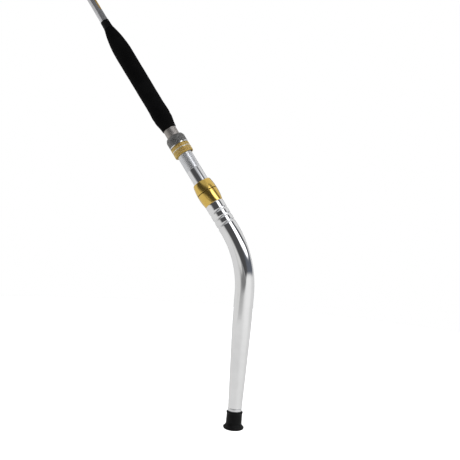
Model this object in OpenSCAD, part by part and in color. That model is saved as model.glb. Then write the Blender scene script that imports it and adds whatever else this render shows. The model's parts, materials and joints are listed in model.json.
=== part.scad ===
// Bent-butt trolling rod: a curved metal butt with a screw-locking reel seat, and a ferruled
// blank with a foam foregrip, roller guides and a roller tip.
//
// The origin is the centre of the butt cap's foot and +Z runs up the lower half of the butt.
// The bend lies in the XZ plane: the upper half leans towards -X, and the reel and the guides
// are on its +X side. Everything above the bend is drawn in the upper frame, which starts at
// the elbow, where the two axes cross, has its Z along the upper axis and its X towards the reel.

/* [Butt] */
// Angle between the lower and the upper half, in degrees
bend_angle = 38.7; // [34:0.1:40]
// Radius of the bend, measured to the tube's axis
bend_r = 215; // [190:5:240]
// Height of the elbow above the foot
elbow_z = 376; // [360:2:420]
// Radius of the butt tube
tube_r = 20.7; // [20.2:0.1:20.9]
// Thickness of the butt tube's wall
tube_wall = 2.6; // [2.2:0.1:2.8]
// Height at which the lower leg starts to taper
taper_z = 235; // [200:5:240]
// Height of the tube's lower end
tube_end_z = 48; // [47:0.5:50]
// Radius of the tube at its lower end
tube_end_r = 15; // [14.2:0.1:15.2]
// Distance between the decorative coves round the upper leg
cove_pitch = 16; // [12:0.5:18]

/* [Reel seat] */
// Radius of the seat tube that the reel stands on
seat_r = 16.75; // [16.5:0.05:16.9]
// Radius of the seat tube's bore, which takes the ferrule
seat_bore_r = 13.45; // [13:0.05:13.8]
// Upper frame station of the barrel's lower end
barrel_s = 140.4; // [139:0.2:143]
// Length of the two-piece barrel
barrel_len = 54.9; // [53:0.1:56]
// Radius of the barrel at its middle
barrel_r = 23.6; // [22.6:0.1:24]
// Station of the seat tube's upper end
seat_top_s = 304; // [303:0.5:305]
// Station of the sliding hood's mouth
hood_s = 269.6; // [267:0.1:270]
// Radius over the knurls of the hood, the lock nut and the coupling nut
knurl_r = 21.8; // [21.4:0.1:22.4]

/* [Rod] */
// Station of the foregrip's lower end
grip_s = 336.7; // [335:0.1:340]
// Station of the foregrip's upper end
grip_top_s = 614.5; // [605:0.5:620]
// Station of the blank's upper end
blank_top_s = 1295; // [1285:5:1320]
// Radius of the blank just above the winding check
blank_r = 9.1; // [8.8:0.05:9.2]
// Radius of the blank at its upper end
blank_top_r = 4.4; // [4.2:0.1:4.8]
// Number of single-roller guides between the stripper guide and the tip
guide_count = 4; // [3:1:4]

/* [Hidden] */
$fn = 96;
// running clearance of a shaft in its bore
run = 0.05;
// gap between faces of one body that only touch
gap = 0.04;
// length from the elbow to each end of the bend
bend_t = bend_r * tan(bend_angle / 2);
// the straight legs lap over the ends of the bend, which is a hair slimmer
lap = 0.3;
lap_step = 0.02;

// lower leg
tube_bore_r = tube_r - tube_wall;
end_bore_r = tube_end_r - tube_wall;
end_round = 1.6;
cove_w = 6.6;
cove_depth = 0.9;
cove_first_s = barrel_s - 20.3;

// butt cap, by height
cap_flat_r = 12;
cap_rim_r = 22.6;
cap_rim_z = 5;
cap_rim_h = 2.4;
cap_flare_h = 8;
cap_body_r = 17.3;
cap_bead_r = 17.9;
cap_bead_round = 1.6;
cap_bead_h = 5;
cap_lip = 1.2;
cap_top_z = 41;
cap_floor_z = 9;

// nock inside the cap
nock_r = 13;
nock_z = 10.5;
nock_slot_w = 6.6;
nock_slot_h = 13;
nock_over = 1;
nock_collar_r = 15;
nock_collar_z = 41.6;
nock_plug_top_z = 82;

// seat tube and hoods, by station
seat_foot_s = 100;
seat_bore_s = 222;
key_w = 3.9;
key_h = 5.8;
seat_step = 2.5;
barrel_seam_s = barrel_s + 29.7;
barrel_end_r = 20.5;
barrel_edge = 0.8;
pocket_r = 17.5;
pocket_shift = 1.6;
pocket_depth = 14;
hood_pocket_r = 18.1;
hood_len = 13.4;
hood_pocket_depth = 9;
washer_h = 0.8;
washer_inset = 0.9;
lock_len = 8.5;
nut_gap = 0.5;
coupling_len = 23.4;
coupling_cavity_s = seat_top_s + 5.6;
collar_h = 4;
collar_r = 16.2;
stem_r = 14.7;
stem_top_s = 370;
plug_len = 81;
plug_wall = 4;
key_inset = 0.6;
key_bite = 1;

// grip outline: its start, bulge, waist, shoulder and neck, as stations and radii
grip_start_r = 16.4;
grip_bulge_s = 371;
grip_bulge_r = 21.2;
grip_waist_s = 404;
grip_waist_r = 20;
grip_nose_s = 545;
grip_nose_r = 20.5;
grip_nose_power = 1.9;
grip_neck_r = 10.7;
check_len = 19.5;
check_edge = 0.8;

// blank
blank_foot_s = 319;
blank_s = grip_top_s + check_len;
blank_wall = 2;
blank_slope = (blank_r - blank_top_r) / (blank_top_s - blank_s);

// guides
axle_r = 1.8;
bush_r = 2.9;
axle_head_r = 3.4;
axle_head_h = 1.2;
plate_t = 1.8;
side_play = 0.3;
foot_t = 1.5;
foot_half_w = 3.4;
wrap_t = 2.1;
wrap_gap = 0.4;
wrap_over = 4;
bridge_t = 2.4;
outline_steps = 8;
stripper_s = 775;
guide_first_s = 904;
guide_gaps = [0, 112, 212, 302];
tip_roller_s = blank_top_s + 12;
tip_tube_len = 28;
tip_tube_wall = 1.2;
tip_wrap_len = 9;
cheek_half = 4.5;
cheek_foot = 6;
cheek_over = 1.5;
tip_roller_x = 5;
tip_roller_r = 6;
tip_roller_w = 7;
tip_window = 8;
tip_back_r = 6;

// radius of the blank's outside at a station
function blank_at(s) = blank_r - (s - blank_s) * blank_slope;
// points along an arc, from angle a0 to angle a1
function arc(cx, cy, r, a0, a1, n) =
    [for (i = [0 : n]) [cx + r * cos(a0 + (a1 - a0) * i / n), cy + r * sin(a0 + (a1 - a0) * i / n)]];
// smooth step from 0 to 1
function ease(t) = (1 - cos(180 * t)) / 2;
// smooth transition of a radius between two stations, without its last point
function sweep_r(s0, r0, s1, r1, n) =
    [for (i = [0 : n - 1]) [r0 + (r1 - r0) * ease(i / n), s0 + (s1 - s0) * i / n]];

// station of guide i, and its size compared with the first one
function guide_s(i) = guide_first_s + guide_gaps[i - 1];
function guide_k(i) = 1 - 0.11 * (i - 1);
function roller_r(k) = 7 * k;
function roller_w(k) = 9 * k;
function base_half(k) = 21 * k;
function foot_half(k) = base_half(k) + 14 * k;
function bridge_half(k) = 4.2 * k;
function axle_x(k, s) = blank_at(s) + 3 + 11 * k;
function window_h(k) = 6 + 4 * k;
function plate_top_x(k, s) = axle_x(k, s) + roller_r(k) + window_h(k) + bridge_t;

GUIDE_PARTS = ["frame", "axle", "wraps", "roller", "bush"];

// ---- frames and shared shapes ----

// places a shape that is drawn in the upper frame
module upper() {
    translate([0, 0, elbow_z])
        rotate([0, -bend_angle, 0])
            children();
}

// a ring from station s0 to s1
module ring(r_in, r_out, s0, s1) {
    translate([0, 0, s0])
        difference() {
            cylinder(r = r_out, h = s1 - s0);
            translate([0, 0, -1])
                cylinder(r = r_in, h = s1 - s0 + 2);
        }
}

// a rod across the upper frame, along its Y axis
module cross_rod(r, len, x, s) {
    translate([x, -len / 2, s])
        rotate([-90, 0, 0])
            cylinder(r = r, h = len);
}

// the blank's outside between two stations, larger by clear
module blank_space(s0, s1, clear) {
    translate([0, 0, s0])
        cylinder(r1 = blank_at(s0) + clear, r2 = blank_at(s1) + clear, h = s1 - s0);
}

// ---- butt ----

module lower_leg() {
    rotate_extrude()
        polygon(concat(
            [[end_bore_r, tube_end_z]],
            arc(tube_end_r - end_round, tube_end_z + end_round, end_round, -90, 0, 5),
            [[tube_r, taper_z],
             [tube_r, elbow_z - bend_t + lap],
             [tube_bore_r, elbow_z - bend_t + lap],
             [tube_bore_r, taper_z]]));
}

module bend() {
    translate([-bend_r, 0, elbow_z - bend_t])
        rotate([90, 0, 0])
            rotate_extrude(angle = bend_angle)
                translate([bend_r, 0])
                    difference() {
                        circle(r = tube_r - lap_step);
                        circle(r = tube_bore_r - lap_step);
                    }
}

// half the opening angle and the centre height of a cove's arc
cove_arc_r = (cove_w * cove_w / 4 + cove_depth * cove_depth) / (2 * cove_depth);
cove_a = asin(cove_w / 2 / cove_arc_r);
cove_x = tube_r + cove_arc_r - cove_depth;

module upper_leg() {
    upper()
        rotate_extrude()
            polygon(concat(
                [[tube_bore_r, bend_t - lap], [tube_r, bend_t - lap]],
                [for (i = [2 : -1 : 0])
                    each arc(cove_x, cove_first_s - i * cove_pitch, cove_arc_r,
                             180 + cove_a, 180 - cove_a, 6)],
                [[tube_r, barrel_s - gap], [tube_bore_r, barrel_s - gap]]));
}

module butt_tube() {
    color("gainsboro") {
        lower_leg();
        bend();
        upper_leg();
    }
}

// the cross-slotted end that locks over a rod holder's pin
module gimbal_nock() {
    color("silver")
        difference() {
            union() {
                translate([0, 0, nock_z])
                    cylinder(r = nock_r, h = nock_collar_z - nock_z);
                translate([0, 0, nock_collar_z])
                    cylinder(r = nock_collar_r, h = tube_end_z - gap - nock_collar_z);
                translate([0, 0, tube_end_z - gap])
                    cylinder(r = end_bore_r - gap, h = nock_plug_top_z - tube_end_z);
            }
            for (turn = [0, 90])
                rotate([0, 0, turn])
                    translate([-nock_r - nock_over, -nock_slot_w / 2, nock_z - nock_over])
                        cube([2 * (nock_r + nock_over), nock_slot_w, nock_slot_h + nock_over]);
        }
}

module gimbal_cap() {
    flare_steps = 6;
    color("#1a1a1a")
        rotate_extrude()
            polygon(concat(
                [[0, 0]],
                [for (i = [0 : flare_steps])
                    [cap_flat_r + (cap_rim_r - cap_flat_r) * sin(90 * i / flare_steps),
                     cap_rim_z * (1 - cos(90 * i / flare_steps))]],
                [[cap_rim_r, cap_rim_z + cap_rim_h]],
                [for (i = [1 : flare_steps])
                    [cap_body_r + (cap_rim_r - cap_body_r) * pow(1 - i / flare_steps, 2),
                     cap_rim_z + cap_rim_h + cap_flare_h * i / flare_steps]],
                [[cap_body_r, cap_top_z - cap_bead_h]],
                arc(cap_bead_r - cap_bead_round, cap_top_z - cap_bead_round, cap_bead_round,
                    -20, 90, 5),
                [[nock_r + run + cap_lip, cap_top_z],
                 [nock_r + run, cap_top_z - cap_lip],
                 [nock_r + run, cap_floor_z],
                 [0, cap_floor_z]]));
}

// ---- reel seat ----

// radius of the barrel's outside at a station
function barrel_at(s) =
    let (t = (s - barrel_s) / barrel_len)
    barrel_end_r + (barrel_r - barrel_end_r) * (1 - pow(abs(2 * t - 1), 2.2));

// outside of the barrel from s0 to s1, closed round the seat tube
module barrel_piece(s0, s1) {
    steps = 8;
    rotate_extrude()
        polygon(concat(
            [[seat_r + gap, s0]],
            [for (i = [0 : steps])
                let (s = s0 + (s1 - s0) * i / steps)
                [barrel_at(s) - (s == barrel_s || s == barrel_s + barrel_len ? barrel_edge : 0), s]],
            [[seat_r + gap, s1]]));
}

module lower_collar() {
    color("goldenrod")
        upper()
            barrel_piece(barrel_s, barrel_seam_s - gap);
}

module fixed_hood() {
    color("goldenrod")
        upper()
            difference() {
                barrel_piece(barrel_seam_s, barrel_s + barrel_len);
                translate([pocket_shift, 0, barrel_s + barrel_len - pocket_depth])
                    cylinder(r = pocket_r, h = pocket_depth + 1);
            }
}

module seat_tube() {
    color("lightgray")
        upper()
            difference() {
                rotate_extrude()
                    polygon([
                        [seat_bore_r - seat_step, seat_foot_s],
                        [tube_bore_r - gap, seat_foot_s],
                        [tube_bore_r - gap, barrel_s - gap],
                        [seat_r, barrel_s - gap],
                        [seat_r, seat_top_s],
                        [seat_bore_r, seat_top_s],
                        [seat_bore_r, seat_bore_s],
                        [seat_bore_r - seat_step, seat_bore_s]]);
                translate([-seat_r - 1, -key_w / 2 - run, seat_top_s - key_h - 2 * run])
                    cube([seat_r - seat_bore_r + 2.7, key_w + 2 * run, key_h + 1]);
            }
}

// outline of a knurled ring with rounded edges, from s0 to s1
module knurled_outline(r_in, s0, s1) {
    edge = 1.2;
    polygon(concat(
        [[r_in, s0]],
        arc(knurl_r - edge, s0 + edge, edge, -90, 0, 4),
        arc(knurl_r - edge, s1 - edge, edge, 0, 90, 4),
        [[r_in, s1]]));
}

hood_top_s = hood_s + hood_len;
washer_s = hood_top_s + run;
lock_s = washer_s + washer_h + run;
coupling_s = lock_s + lock_len + nut_gap;
coupling_top_s = coupling_s + coupling_len;

module sliding_hood() {
    color("goldenrod")
        upper()
            difference() {
                rotate_extrude()
                    knurled_outline(seat_r + run, hood_s, hood_top_s);
                translate([pocket_shift, 0, hood_s - 1])
                    cylinder(r = hood_pocket_r, h = hood_pocket_depth + 1);
            }
}

module hood_washer() {
    color("whitesmoke")
        upper()
            ring(seat_r + run, knurl_r - washer_inset, washer_s, washer_s + washer_h);
}

module lock_nut() {
    color("goldenrod")
        upper()
            rotate_extrude()
                knurled_outline(seat_r + run, lock_s, lock_s + lock_len);
}

module thrust_washer() {
    washer_base = seat_top_s + gap + collar_h + run;
    color("whitesmoke")
        upper()
            ring(stem_r + run, collar_r, washer_base, coupling_cavity_s - run);
}

module coupling_nut() {
    edge = 0.9;
    chamfer_h = 5.6;
    chamfer_r = 3.2;
    color("dimgray")
        upper()
            rotate_extrude()
                polygon([
                    [seat_r + run, coupling_s],
                    [knurl_r - edge, coupling_s],
                    [knurl_r, coupling_s + edge],
                    [knurl_r, coupling_top_s - chamfer_h],
                    [knurl_r - chamfer_r, coupling_top_s],
                    [stem_r + run, coupling_top_s],
                    [stem_r + run, coupling_cavity_s],
                    [seat_r + run, coupling_cavity_s]]);
}

// ---- rod ----

module ferrule() {
    plug_r = seat_bore_r - run;
    plug_foot_s = seat_top_s - plug_len;
    plug_edge = 0.8;
    socket_r = blank_at(blank_foot_s) + gap;
    collar_s = seat_top_s + gap;
    color("darkgray")
        upper()
            difference() {
                rotate_extrude()
                    polygon([
                        [plug_r - plug_wall, plug_foot_s],
                        [plug_r - plug_edge, plug_foot_s],
                        [plug_r, plug_foot_s + plug_edge],
                        [plug_r, collar_s],
                        [collar_r, collar_s],
                        [collar_r, collar_s + collar_h],
                        [stem_r, collar_s + collar_h],
                        [stem_r, stem_top_s],
                        [socket_r, stem_top_s],
                        [socket_r, blank_foot_s - gap],
                        [plug_r - plug_wall, blank_foot_s - gap]]);
                translate([-plug_r - 2, -key_w / 2 - gap, seat_top_s - key_h - gap])
                    cube([2 + key_bite, key_w + 2 * gap, key_h + gap]);
            }
}

// keeps the ferrule from turning in the seat tube
module ferrule_key() {
    plug_r = seat_bore_r - run;
    color("gray")
        upper()
            translate([-seat_r + key_inset, -key_w / 2, seat_top_s - key_h])
                cube([seat_r - key_inset - plug_r + key_bite - gap, key_w, key_h]);
}

module foregrip() {
    nose_steps = 12;
    color("#111111")
        upper()
            rotate_extrude()
                polygon(concat(
                    sweep_r(grip_s, grip_start_r, grip_bulge_s, grip_bulge_r, 8),
                    sweep_r(grip_bulge_s, grip_bulge_r, grip_waist_s, grip_waist_r, 6),
                    [[grip_waist_r, grip_waist_s]],
                    [for (i = [0 : nose_steps])
                        let (t = i / nose_steps)
                        [grip_nose_r - (grip_nose_r - grip_neck_r) * pow(t, grip_nose_power),
                         grip_nose_s + (grip_top_s - grip_nose_s) * t]],
                    [[blank_at(grip_top_s) + gap, grip_top_s],
                     [blank_at(stem_top_s + gap) + gap, stem_top_s + gap],
                     [stem_r + gap, stem_top_s + gap],
                     [stem_r + gap, grip_s]]));
}

module winding_check() {
    color("#0c0c0c")
        upper()
            rotate_extrude()
                polygon([
                    [blank_at(grip_top_s) + gap, grip_top_s + gap],
                    [grip_neck_r, grip_top_s + gap],
                    [grip_neck_r - check_edge / 2, blank_s - check_edge],
                    [grip_neck_r - check_edge, blank_s],
                    [blank_at(blank_s) + gap, blank_s]]);
}

module blank() {
    color("slategray")
        upper()
            rotate_extrude()
                polygon([
                    [blank_at(blank_foot_s) - blank_wall, blank_foot_s],
                    [blank_at(blank_foot_s), blank_foot_s],
                    [blank_at(blank_top_s), blank_top_s],
                    [blank_at(blank_top_s) - blank_wall, blank_top_s]]);
}

// ---- roller guides ----

// outline of a side plate in height and length: wide at the base, with hollow flanks
module plate_outline(base_x, top_x, base_h, top_h, bend_power) {
    function half(t) = top_h + (base_h - top_h) * pow(1 - t, bend_power);
    right = [for (i = [0 : outline_steps])
        [base_x + (top_x - base_x) * i / outline_steps, half(i / outline_steps)]];
    left = [for (i = [outline_steps : -1 : 0])
        [base_x + (top_x - base_x) * i / outline_steps, -half(i / outline_steps)]];
    polygon(concat(right, left));
}

// the bar that joins the plates' tops, let into them at both ends
module bridge(top_x, s, half, inner_w) {
    bite = 0.5;
    translate([top_x - bridge_t, -inner_w / 2 - bite, s - half])
        cube([bridge_t, inner_w + 2 * bite, 2 * half]);
}

// two side plates, inner faces inner_w apart, centred on station s
module side_plates(s, inner_w, base_x, top_x, base_h, top_h, bend_power) {
    for (side = [-1, 1])
        translate([0, side * (inner_w + plate_t) / 2 + plate_t / 2, s])
            rotate([90, 0, 0])
                linear_extrude(plate_t)
                    plate_outline(base_x, top_x, base_h, top_h, bend_power);
}

// the two feet that the wraps bind down, larger by clear
module feet(s, half, clear) {
    r = blank_at(s) + foot_t + clear;
    intersection() {
        translate([0, 0, s - half])
            cylinder(r = r, h = 2 * half);
        translate([0, -foot_half_w - clear, s - half])
            cube([r + 1, 2 * (foot_half_w + clear), 2 * half]);
    }
}

// the block between the plates that stands on the blank
module saddle(s, half, inner_w) {
    depth = blank_at(s) + foot_t + 0.5;
    translate([depth * 0.5, -inner_w / 2 - plate_t, s - half])
        cube([depth * 0.5, inner_w + 2 * plate_t, 2 * half]);
}

module guide_body(s, k, inner_w, top_x, top_h, bend_power, axle_heights) {
    half = base_half(k);
    difference() {
        union() {
            side_plates(s, inner_w, blank_at(s) * 0.6, top_x, half, top_h, bend_power);
            saddle(s, half, inner_w);
            feet(s, foot_half(k), 0);
        }
        blank_space(s - foot_half(k) - 1, s + foot_half(k) + 1, gap);
        for (x = axle_heights)
            cross_rod(axle_r + gap, inner_w + 2 * plate_t + 2, x, s);
    }
}

module wrap_pair(s, k) {
    start = base_half(k) + wrap_gap;
    end = foot_half(k) + wrap_over;
    for (side = [-1, 1]) {
        s0 = side < 0 ? s - end : s + start;
        s1 = side < 0 ? s - start : s + end;
        difference() {
            translate([0, 0, s0])
                cylinder(r = blank_at(s) + wrap_t, h = s1 - s0);
            blank_space(s0 - 1, s1 + 1, gap);
            feet(s, foot_half(k) + gap, gap);
        }
    }
}

// an axle with a screw head at each end
module axle(s, x, inner_w) {
    len = inner_w + 2 * plate_t + 2 * gap;
    cross_rod(axle_r, len + 2 * axle_head_h, x, s);
    for (side = [-1, 1])
        translate([0, side * (len + axle_head_h) / 2, 0])
            cross_rod(axle_head_r, axle_head_h, x, s);
}

module bush(s, x, w) {
    difference() {
        cross_rod(bush_r, w, x, s);
        cross_rod(axle_r + run, w + 2, x, s);
    }
}

// a grooved roller with a bore for its bush
module roller(s, x, r, w) {
    waist = 1.3;
    steps = 8;
    translate([x, 0, s])
        rotate([90, 0, 0])
            rotate_extrude()
                polygon(concat(
                    [[bush_r + gap / 2, -w / 2]],
                    [for (i = [0 : steps])
                        let (t = 2 * i / steps - 1)
                        [r - waist * (1 - t * t), t * w / 2]],
                    [[bush_r + gap / 2, w / 2]]));
}

// stripper guide: the line runs between its two rollers
stripper_k = 1.15;
stripper_roller_r = 7.5;
stripper_w = 10.5;
stripper_line_gap = 9;
stripper_top_half = 5;
stripper_top_over = 9;
stripper_inner_w = stripper_w + 2 * side_play;
stripper_low_x = blank_at(stripper_s) + 12;
stripper_high_x = stripper_low_x + 2 * stripper_roller_r + stripper_line_gap;

module stripper_frame() {
    color("silver")
        upper()
            guide_body(stripper_s, stripper_k, stripper_inner_w,
                       stripper_high_x + stripper_top_over, stripper_top_half, 1.9,
                       [stripper_low_x, stripper_high_x]);
}

module stripper_axles() {
    color("gainsboro")
        upper()
            for (x = [stripper_low_x, stripper_high_x])
                axle(stripper_s, x, stripper_inner_w);
}

module stripper_wraps() {
    color("#151515")
        upper()
            wrap_pair(stripper_s, stripper_k);
}

module stripper_roller(x) {
    color("goldenrod")
        upper()
            roller(stripper_s, x, stripper_roller_r, stripper_w);
}

module stripper_bush(x) {
    color("sienna")
        upper()
            bush(stripper_s, x, stripper_w);
}

// single-roller guide i: the line runs over the roller and under the bridge
module guide_frame(i) {
    k = guide_k(i);
    s = guide_s(i);
    inner_w = roller_w(k) + 2 * side_play;
    color("silver")
        upper() {
            guide_body(s, k, inner_w, plate_top_x(k, s), bridge_half(k), 2.1, [axle_x(k, s)]);
            bridge(plate_top_x(k, s), s, bridge_half(k), inner_w);
        }
}

module guide_axle(i) {
    k = guide_k(i);
    color("gainsboro")
        upper()
            axle(guide_s(i), axle_x(k, guide_s(i)), roller_w(k) + 2 * side_play);
}

module guide_wraps(i) {
    color("#151515")
        upper()
            wrap_pair(guide_s(i), guide_k(i));
}

module guide_roller(i) {
    k = guide_k(i);
    color("goldenrod")
        upper()
            roller(guide_s(i), axle_x(k, guide_s(i)), roller_r(k), roller_w(k));
}

module guide_bush(i) {
    k = guide_k(i);
    color("sienna")
        upper()
            bush(guide_s(i), axle_x(k, guide_s(i)), roller_w(k));
}

// ---- roller tip ----

tip_inner_w = tip_roller_w + 2 * side_play;
tip_top_x = tip_roller_x + tip_roller_r + tip_window + bridge_t;

module tip_frame() {
    tube_s = blank_top_s - tip_tube_len;
    half = 3.6;
    cheek_s = blank_top_s - cheek_foot;
    color("silver")
        upper()
            difference() {
                union() {
                    translate([0, 0, tube_s])
                        cylinder(r = blank_at(tube_s) + tip_tube_wall, h = tip_tube_len + cheek_over);
                    // plates that carry the roller, on a cheek block at the tube's end
                    translate([-cheek_half, -tip_inner_w / 2 - plate_t, cheek_s])
                        cube([2 * cheek_half, tip_inner_w + 2 * plate_t, cheek_foot + cheek_over]);
                    for (side = [-1, 1])
                        translate([0, side * (tip_inner_w + plate_t) / 2 + plate_t / 2, 0])
                            rotate([90, 0, 0])
                                linear_extrude(plate_t)
                                    polygon(concat(
                                        [[-cheek_half, cheek_s]],
                                        arc(tip_back_r - cheek_half, tip_roller_s + 1, tip_back_r,
                                            180, 90, 6),
                                        [[tip_top_x, tip_roller_s + half],
                                         [tip_top_x, tip_roller_s - half],
                                         [cheek_half, cheek_s]]));
                    bridge(tip_top_x, tip_roller_s, half, tip_inner_w);
                }
                blank_space(tube_s - 1, blank_top_s + gap, gap);
                cross_rod(axle_r + gap, tip_inner_w + 2 * plate_t + 2, tip_roller_x, tip_roller_s);
            }
}

module tip_axle() {
    color("gainsboro")
        upper()
            axle(tip_roller_s, tip_roller_x, tip_inner_w);
}

module tip_wrap() {
    s0 = blank_top_s - tip_tube_len - tip_wrap_len;
    s1 = blank_top_s - tip_tube_len - gap;
    color("#151515")
        upper()
            difference() {
                translate([0, 0, s0])
                    cylinder(r1 = blank_at(s0) + tip_tube_wall / 2, r2 = blank_at(s1) + tip_tube_wall,
                             h = s1 - s0);
                blank_space(s0 - 1, s1 + 1, gap);
            }
}

module tip_roller() {
    color("goldenrod")
        upper()
            roller(tip_roller_s, tip_roller_x, tip_roller_r, tip_roller_w);
}

module tip_bush() {
    color("sienna")
        upper()
            bush(tip_roller_s, tip_roller_x, tip_roller_w);
}

butt_tube();
gimbal_nock();
gimbal_cap();
lower_collar();
fixed_hood();
seat_tube();
sliding_hood();
hood_washer();
lock_nut();
thrust_washer();
coupling_nut();
ferrule();
ferrule_key();
foregrip();
winding_check();
blank();
stripper_frame();
stripper_axles();
stripper_wraps();
stripper_roller(stripper_low_x);  // stripper_roller_low
stripper_bush(stripper_low_x);  // stripper_bush_low
stripper_roller(stripper_high_x);  // stripper_roller_high
stripper_bush(stripper_high_x);  // stripper_bush_high
for (i = [1 : guide_count]) {
    guide_frame(i);
    guide_axle(i);
    guide_wraps(i);
    guide_roller(i);
    guide_bush(i);
}
tip_frame();
tip_axle();
tip_wrap();
tip_roller();
tip_bush();
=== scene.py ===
"""Looks of the bent-butt trolling rod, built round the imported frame, in metres.

A station is a distance along the rod's upper axis from the elbow, where the axes of the butt's
two halves cross. TOP points to the reel side, SIDE across the rod and UP along it. Stations and
radii come from the CAD nodes, and the constants here are the details that only the looks have.
"""
import json
import math

import bmesh
import bpy
import numpy as np
from mathutils import Matrix, Vector


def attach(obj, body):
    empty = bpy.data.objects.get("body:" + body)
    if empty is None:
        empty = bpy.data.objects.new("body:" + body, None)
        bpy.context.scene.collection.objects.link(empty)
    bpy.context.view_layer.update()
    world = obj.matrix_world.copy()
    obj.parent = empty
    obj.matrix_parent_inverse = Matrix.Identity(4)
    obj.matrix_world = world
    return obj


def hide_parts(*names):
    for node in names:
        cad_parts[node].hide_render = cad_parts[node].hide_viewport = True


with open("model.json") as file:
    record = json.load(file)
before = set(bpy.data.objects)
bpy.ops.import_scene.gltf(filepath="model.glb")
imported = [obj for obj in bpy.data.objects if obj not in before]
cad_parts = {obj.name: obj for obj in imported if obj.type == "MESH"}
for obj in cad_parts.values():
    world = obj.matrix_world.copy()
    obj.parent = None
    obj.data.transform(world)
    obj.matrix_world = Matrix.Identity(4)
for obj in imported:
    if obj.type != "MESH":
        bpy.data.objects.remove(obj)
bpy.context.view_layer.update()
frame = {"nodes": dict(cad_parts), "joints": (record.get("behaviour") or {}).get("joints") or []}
MM = 0.001
JOINTS = {joint["name"]: joint for joint in frame["joints"]}
UP = np.array(JOINTS["rod_slide"]["axis"], float)
SIDE = np.array((0.0, 1.0, 0.0))
TOP = np.cross(SIDE, UP)
nut_centre = np.array(JOINTS["coupling_nut_turn"]["pos_m"], float)
ELBOW = nut_centre - UP * nut_centre[0] / UP[0]


# ---- camera ----

AZIMUTH = math.radians(23.66)
ELEVATION = math.radians(4.82)
ROLL = math.radians(4.606)
DISTANCE = 2.15
ELBOW_RIGHT = 0.01717
ELBOW_DOWN = 0.0285
SENSOR_MM = 36
LENS_MM = 78.26
NEAREST = 0.05


def make_camera():
    """Looks at the elbow, which stands right of and below the middle of the picture."""
    back = Vector((math.sin(AZIMUTH) * math.cos(ELEVATION),
                   -math.cos(AZIMUTH) * math.cos(ELEVATION),
                   math.sin(ELEVATION)))
    level = Vector((math.cos(AZIMUTH), math.sin(AZIMUTH), 0))
    right = level * math.cos(ROLL) + back.cross(level) * math.sin(ROLL)
    above = back.cross(right)
    aim = back - right * ELBOW_RIGHT + above * ELBOW_DOWN
    camera = bpy.data.objects.new("camera", bpy.data.cameras.new("camera"))
    camera.data.sensor_width = SENSOR_MM
    camera.data.lens = LENS_MM
    camera.data.clip_start = NEAREST
    camera.matrix_world = Matrix.Translation(Vector(ELBOW) + aim * DISTANCE) @ Matrix(
        (right, above, back)).transposed().to_4x4()
    bpy.context.scene.collection.objects.link(camera)
    bpy.context.scene.camera = camera


make_camera()


# ---- measures of the CAD nodes ----

# Two measures no further apart than NEAR are the same, or than LEVEL where one was rounded. GAP is
# left between pieces that touch in the real object.
NEAR = 4e-6
LEVEL = 1e-5
GAP = 0.04 * MM


def vertices(node):
    """A CAD node's points in the row frame."""
    mesh = frame["nodes"][node].data
    points = np.empty(3 * len(mesh.vertices), np.float32)
    mesh.vertices.foreach_get("co", points)
    return points.reshape(-1, 3).astype(float)


def shape(node):
    """A CAD node's points as height above the rod's axis, side and station."""
    return (vertices(node) - ELBOW) @ np.array((TOP, SIDE, UP)).T


def rings(node, points, levels):
    """Levels of a turned CAD node, with its outer radius at each. The bore's points are left out."""
    mesh = frame["nodes"][node].data
    normals = np.empty(3 * len(mesh.vertices), np.float32)
    mesh.vertices.foreach_get("normal", normals)
    axes = np.array((TOP, SIDE)) if levels == "stations" else np.array(((1, 0, 0), (0, 1, 0)))
    outwards = np.sum((normals.reshape(-1, 3) @ axes.T) * points[:, :2], axis=1)
    radius = np.hypot(points[:, 0], points[:, 1])
    outer = outwards > -0.5 * radius
    radius = radius[outer]
    key = np.round(points[outer, 2], 5)
    found = np.unique(key)
    return found, np.array([radius[key == level].max() for level in found])


def outline(node):
    """Stations of a CAD node turned about the rod, with its outer radius at each."""
    return rings(node, shape(node), "stations")


def leg_outline(node):
    """Heights of a CAD node turned about the lower leg, with its outer radius at each."""
    return rings(node, vertices(node), "heights")


def ends(node):
    """Lowest and highest station of a CAD node."""
    stations = shape(node)[:, 2]
    return stations.min(), stations.max()


def bore(node):
    """Smallest radius of a turned CAD node."""
    points = shape(node)
    return np.hypot(points[:, 0], points[:, 1]).min()


def bore_at(node, station):
    """Smallest radius of a turned CAD node at a station."""
    points = shape(node)
    here = np.abs(points[:, 2] - station) < LEVEL
    return np.hypot(points[here, 0], points[here, 1]).min()


def blank_at(station):
    """Outer radius of the blank at a station."""
    return float(np.interp(station, *outline("blank")))


# ---- placing points ----

# turned() calls a placing function with radius, angle, station and shift. on_butt's station is a
# length along the bent axis, across()'s is a distance to the side, and neither uses the shift.

def in_rod(x, y, station):
    """Points in the row frame from height, side and station."""
    x, y, station = np.broadcast_arrays(x, y, station)
    return ELBOW + x[..., None] * TOP + y[..., None] * SIDE + station[..., None] * UP


def on_rod(radius, angle, station, shift):
    """Points round the rod's upper axis, at angle 0 on the reel side."""
    return in_rod(shift + radius * np.cos(angle), radius * np.sin(angle), station)


def on_leg(radius, angle, height, shift):
    """Points round the lower leg's axis."""
    x, y, z = np.broadcast_arrays(shift + radius * np.cos(angle), radius * np.sin(angle), height)
    return np.stack((x, y, z), axis=-1)


def across(x, station):
    """A placing function for what turns on a pin across the rod."""
    def place(radius, angle, side, shift):
        return in_rod(x + radius * np.cos(angle), side, station + radius * np.sin(angle))
    return place


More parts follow.
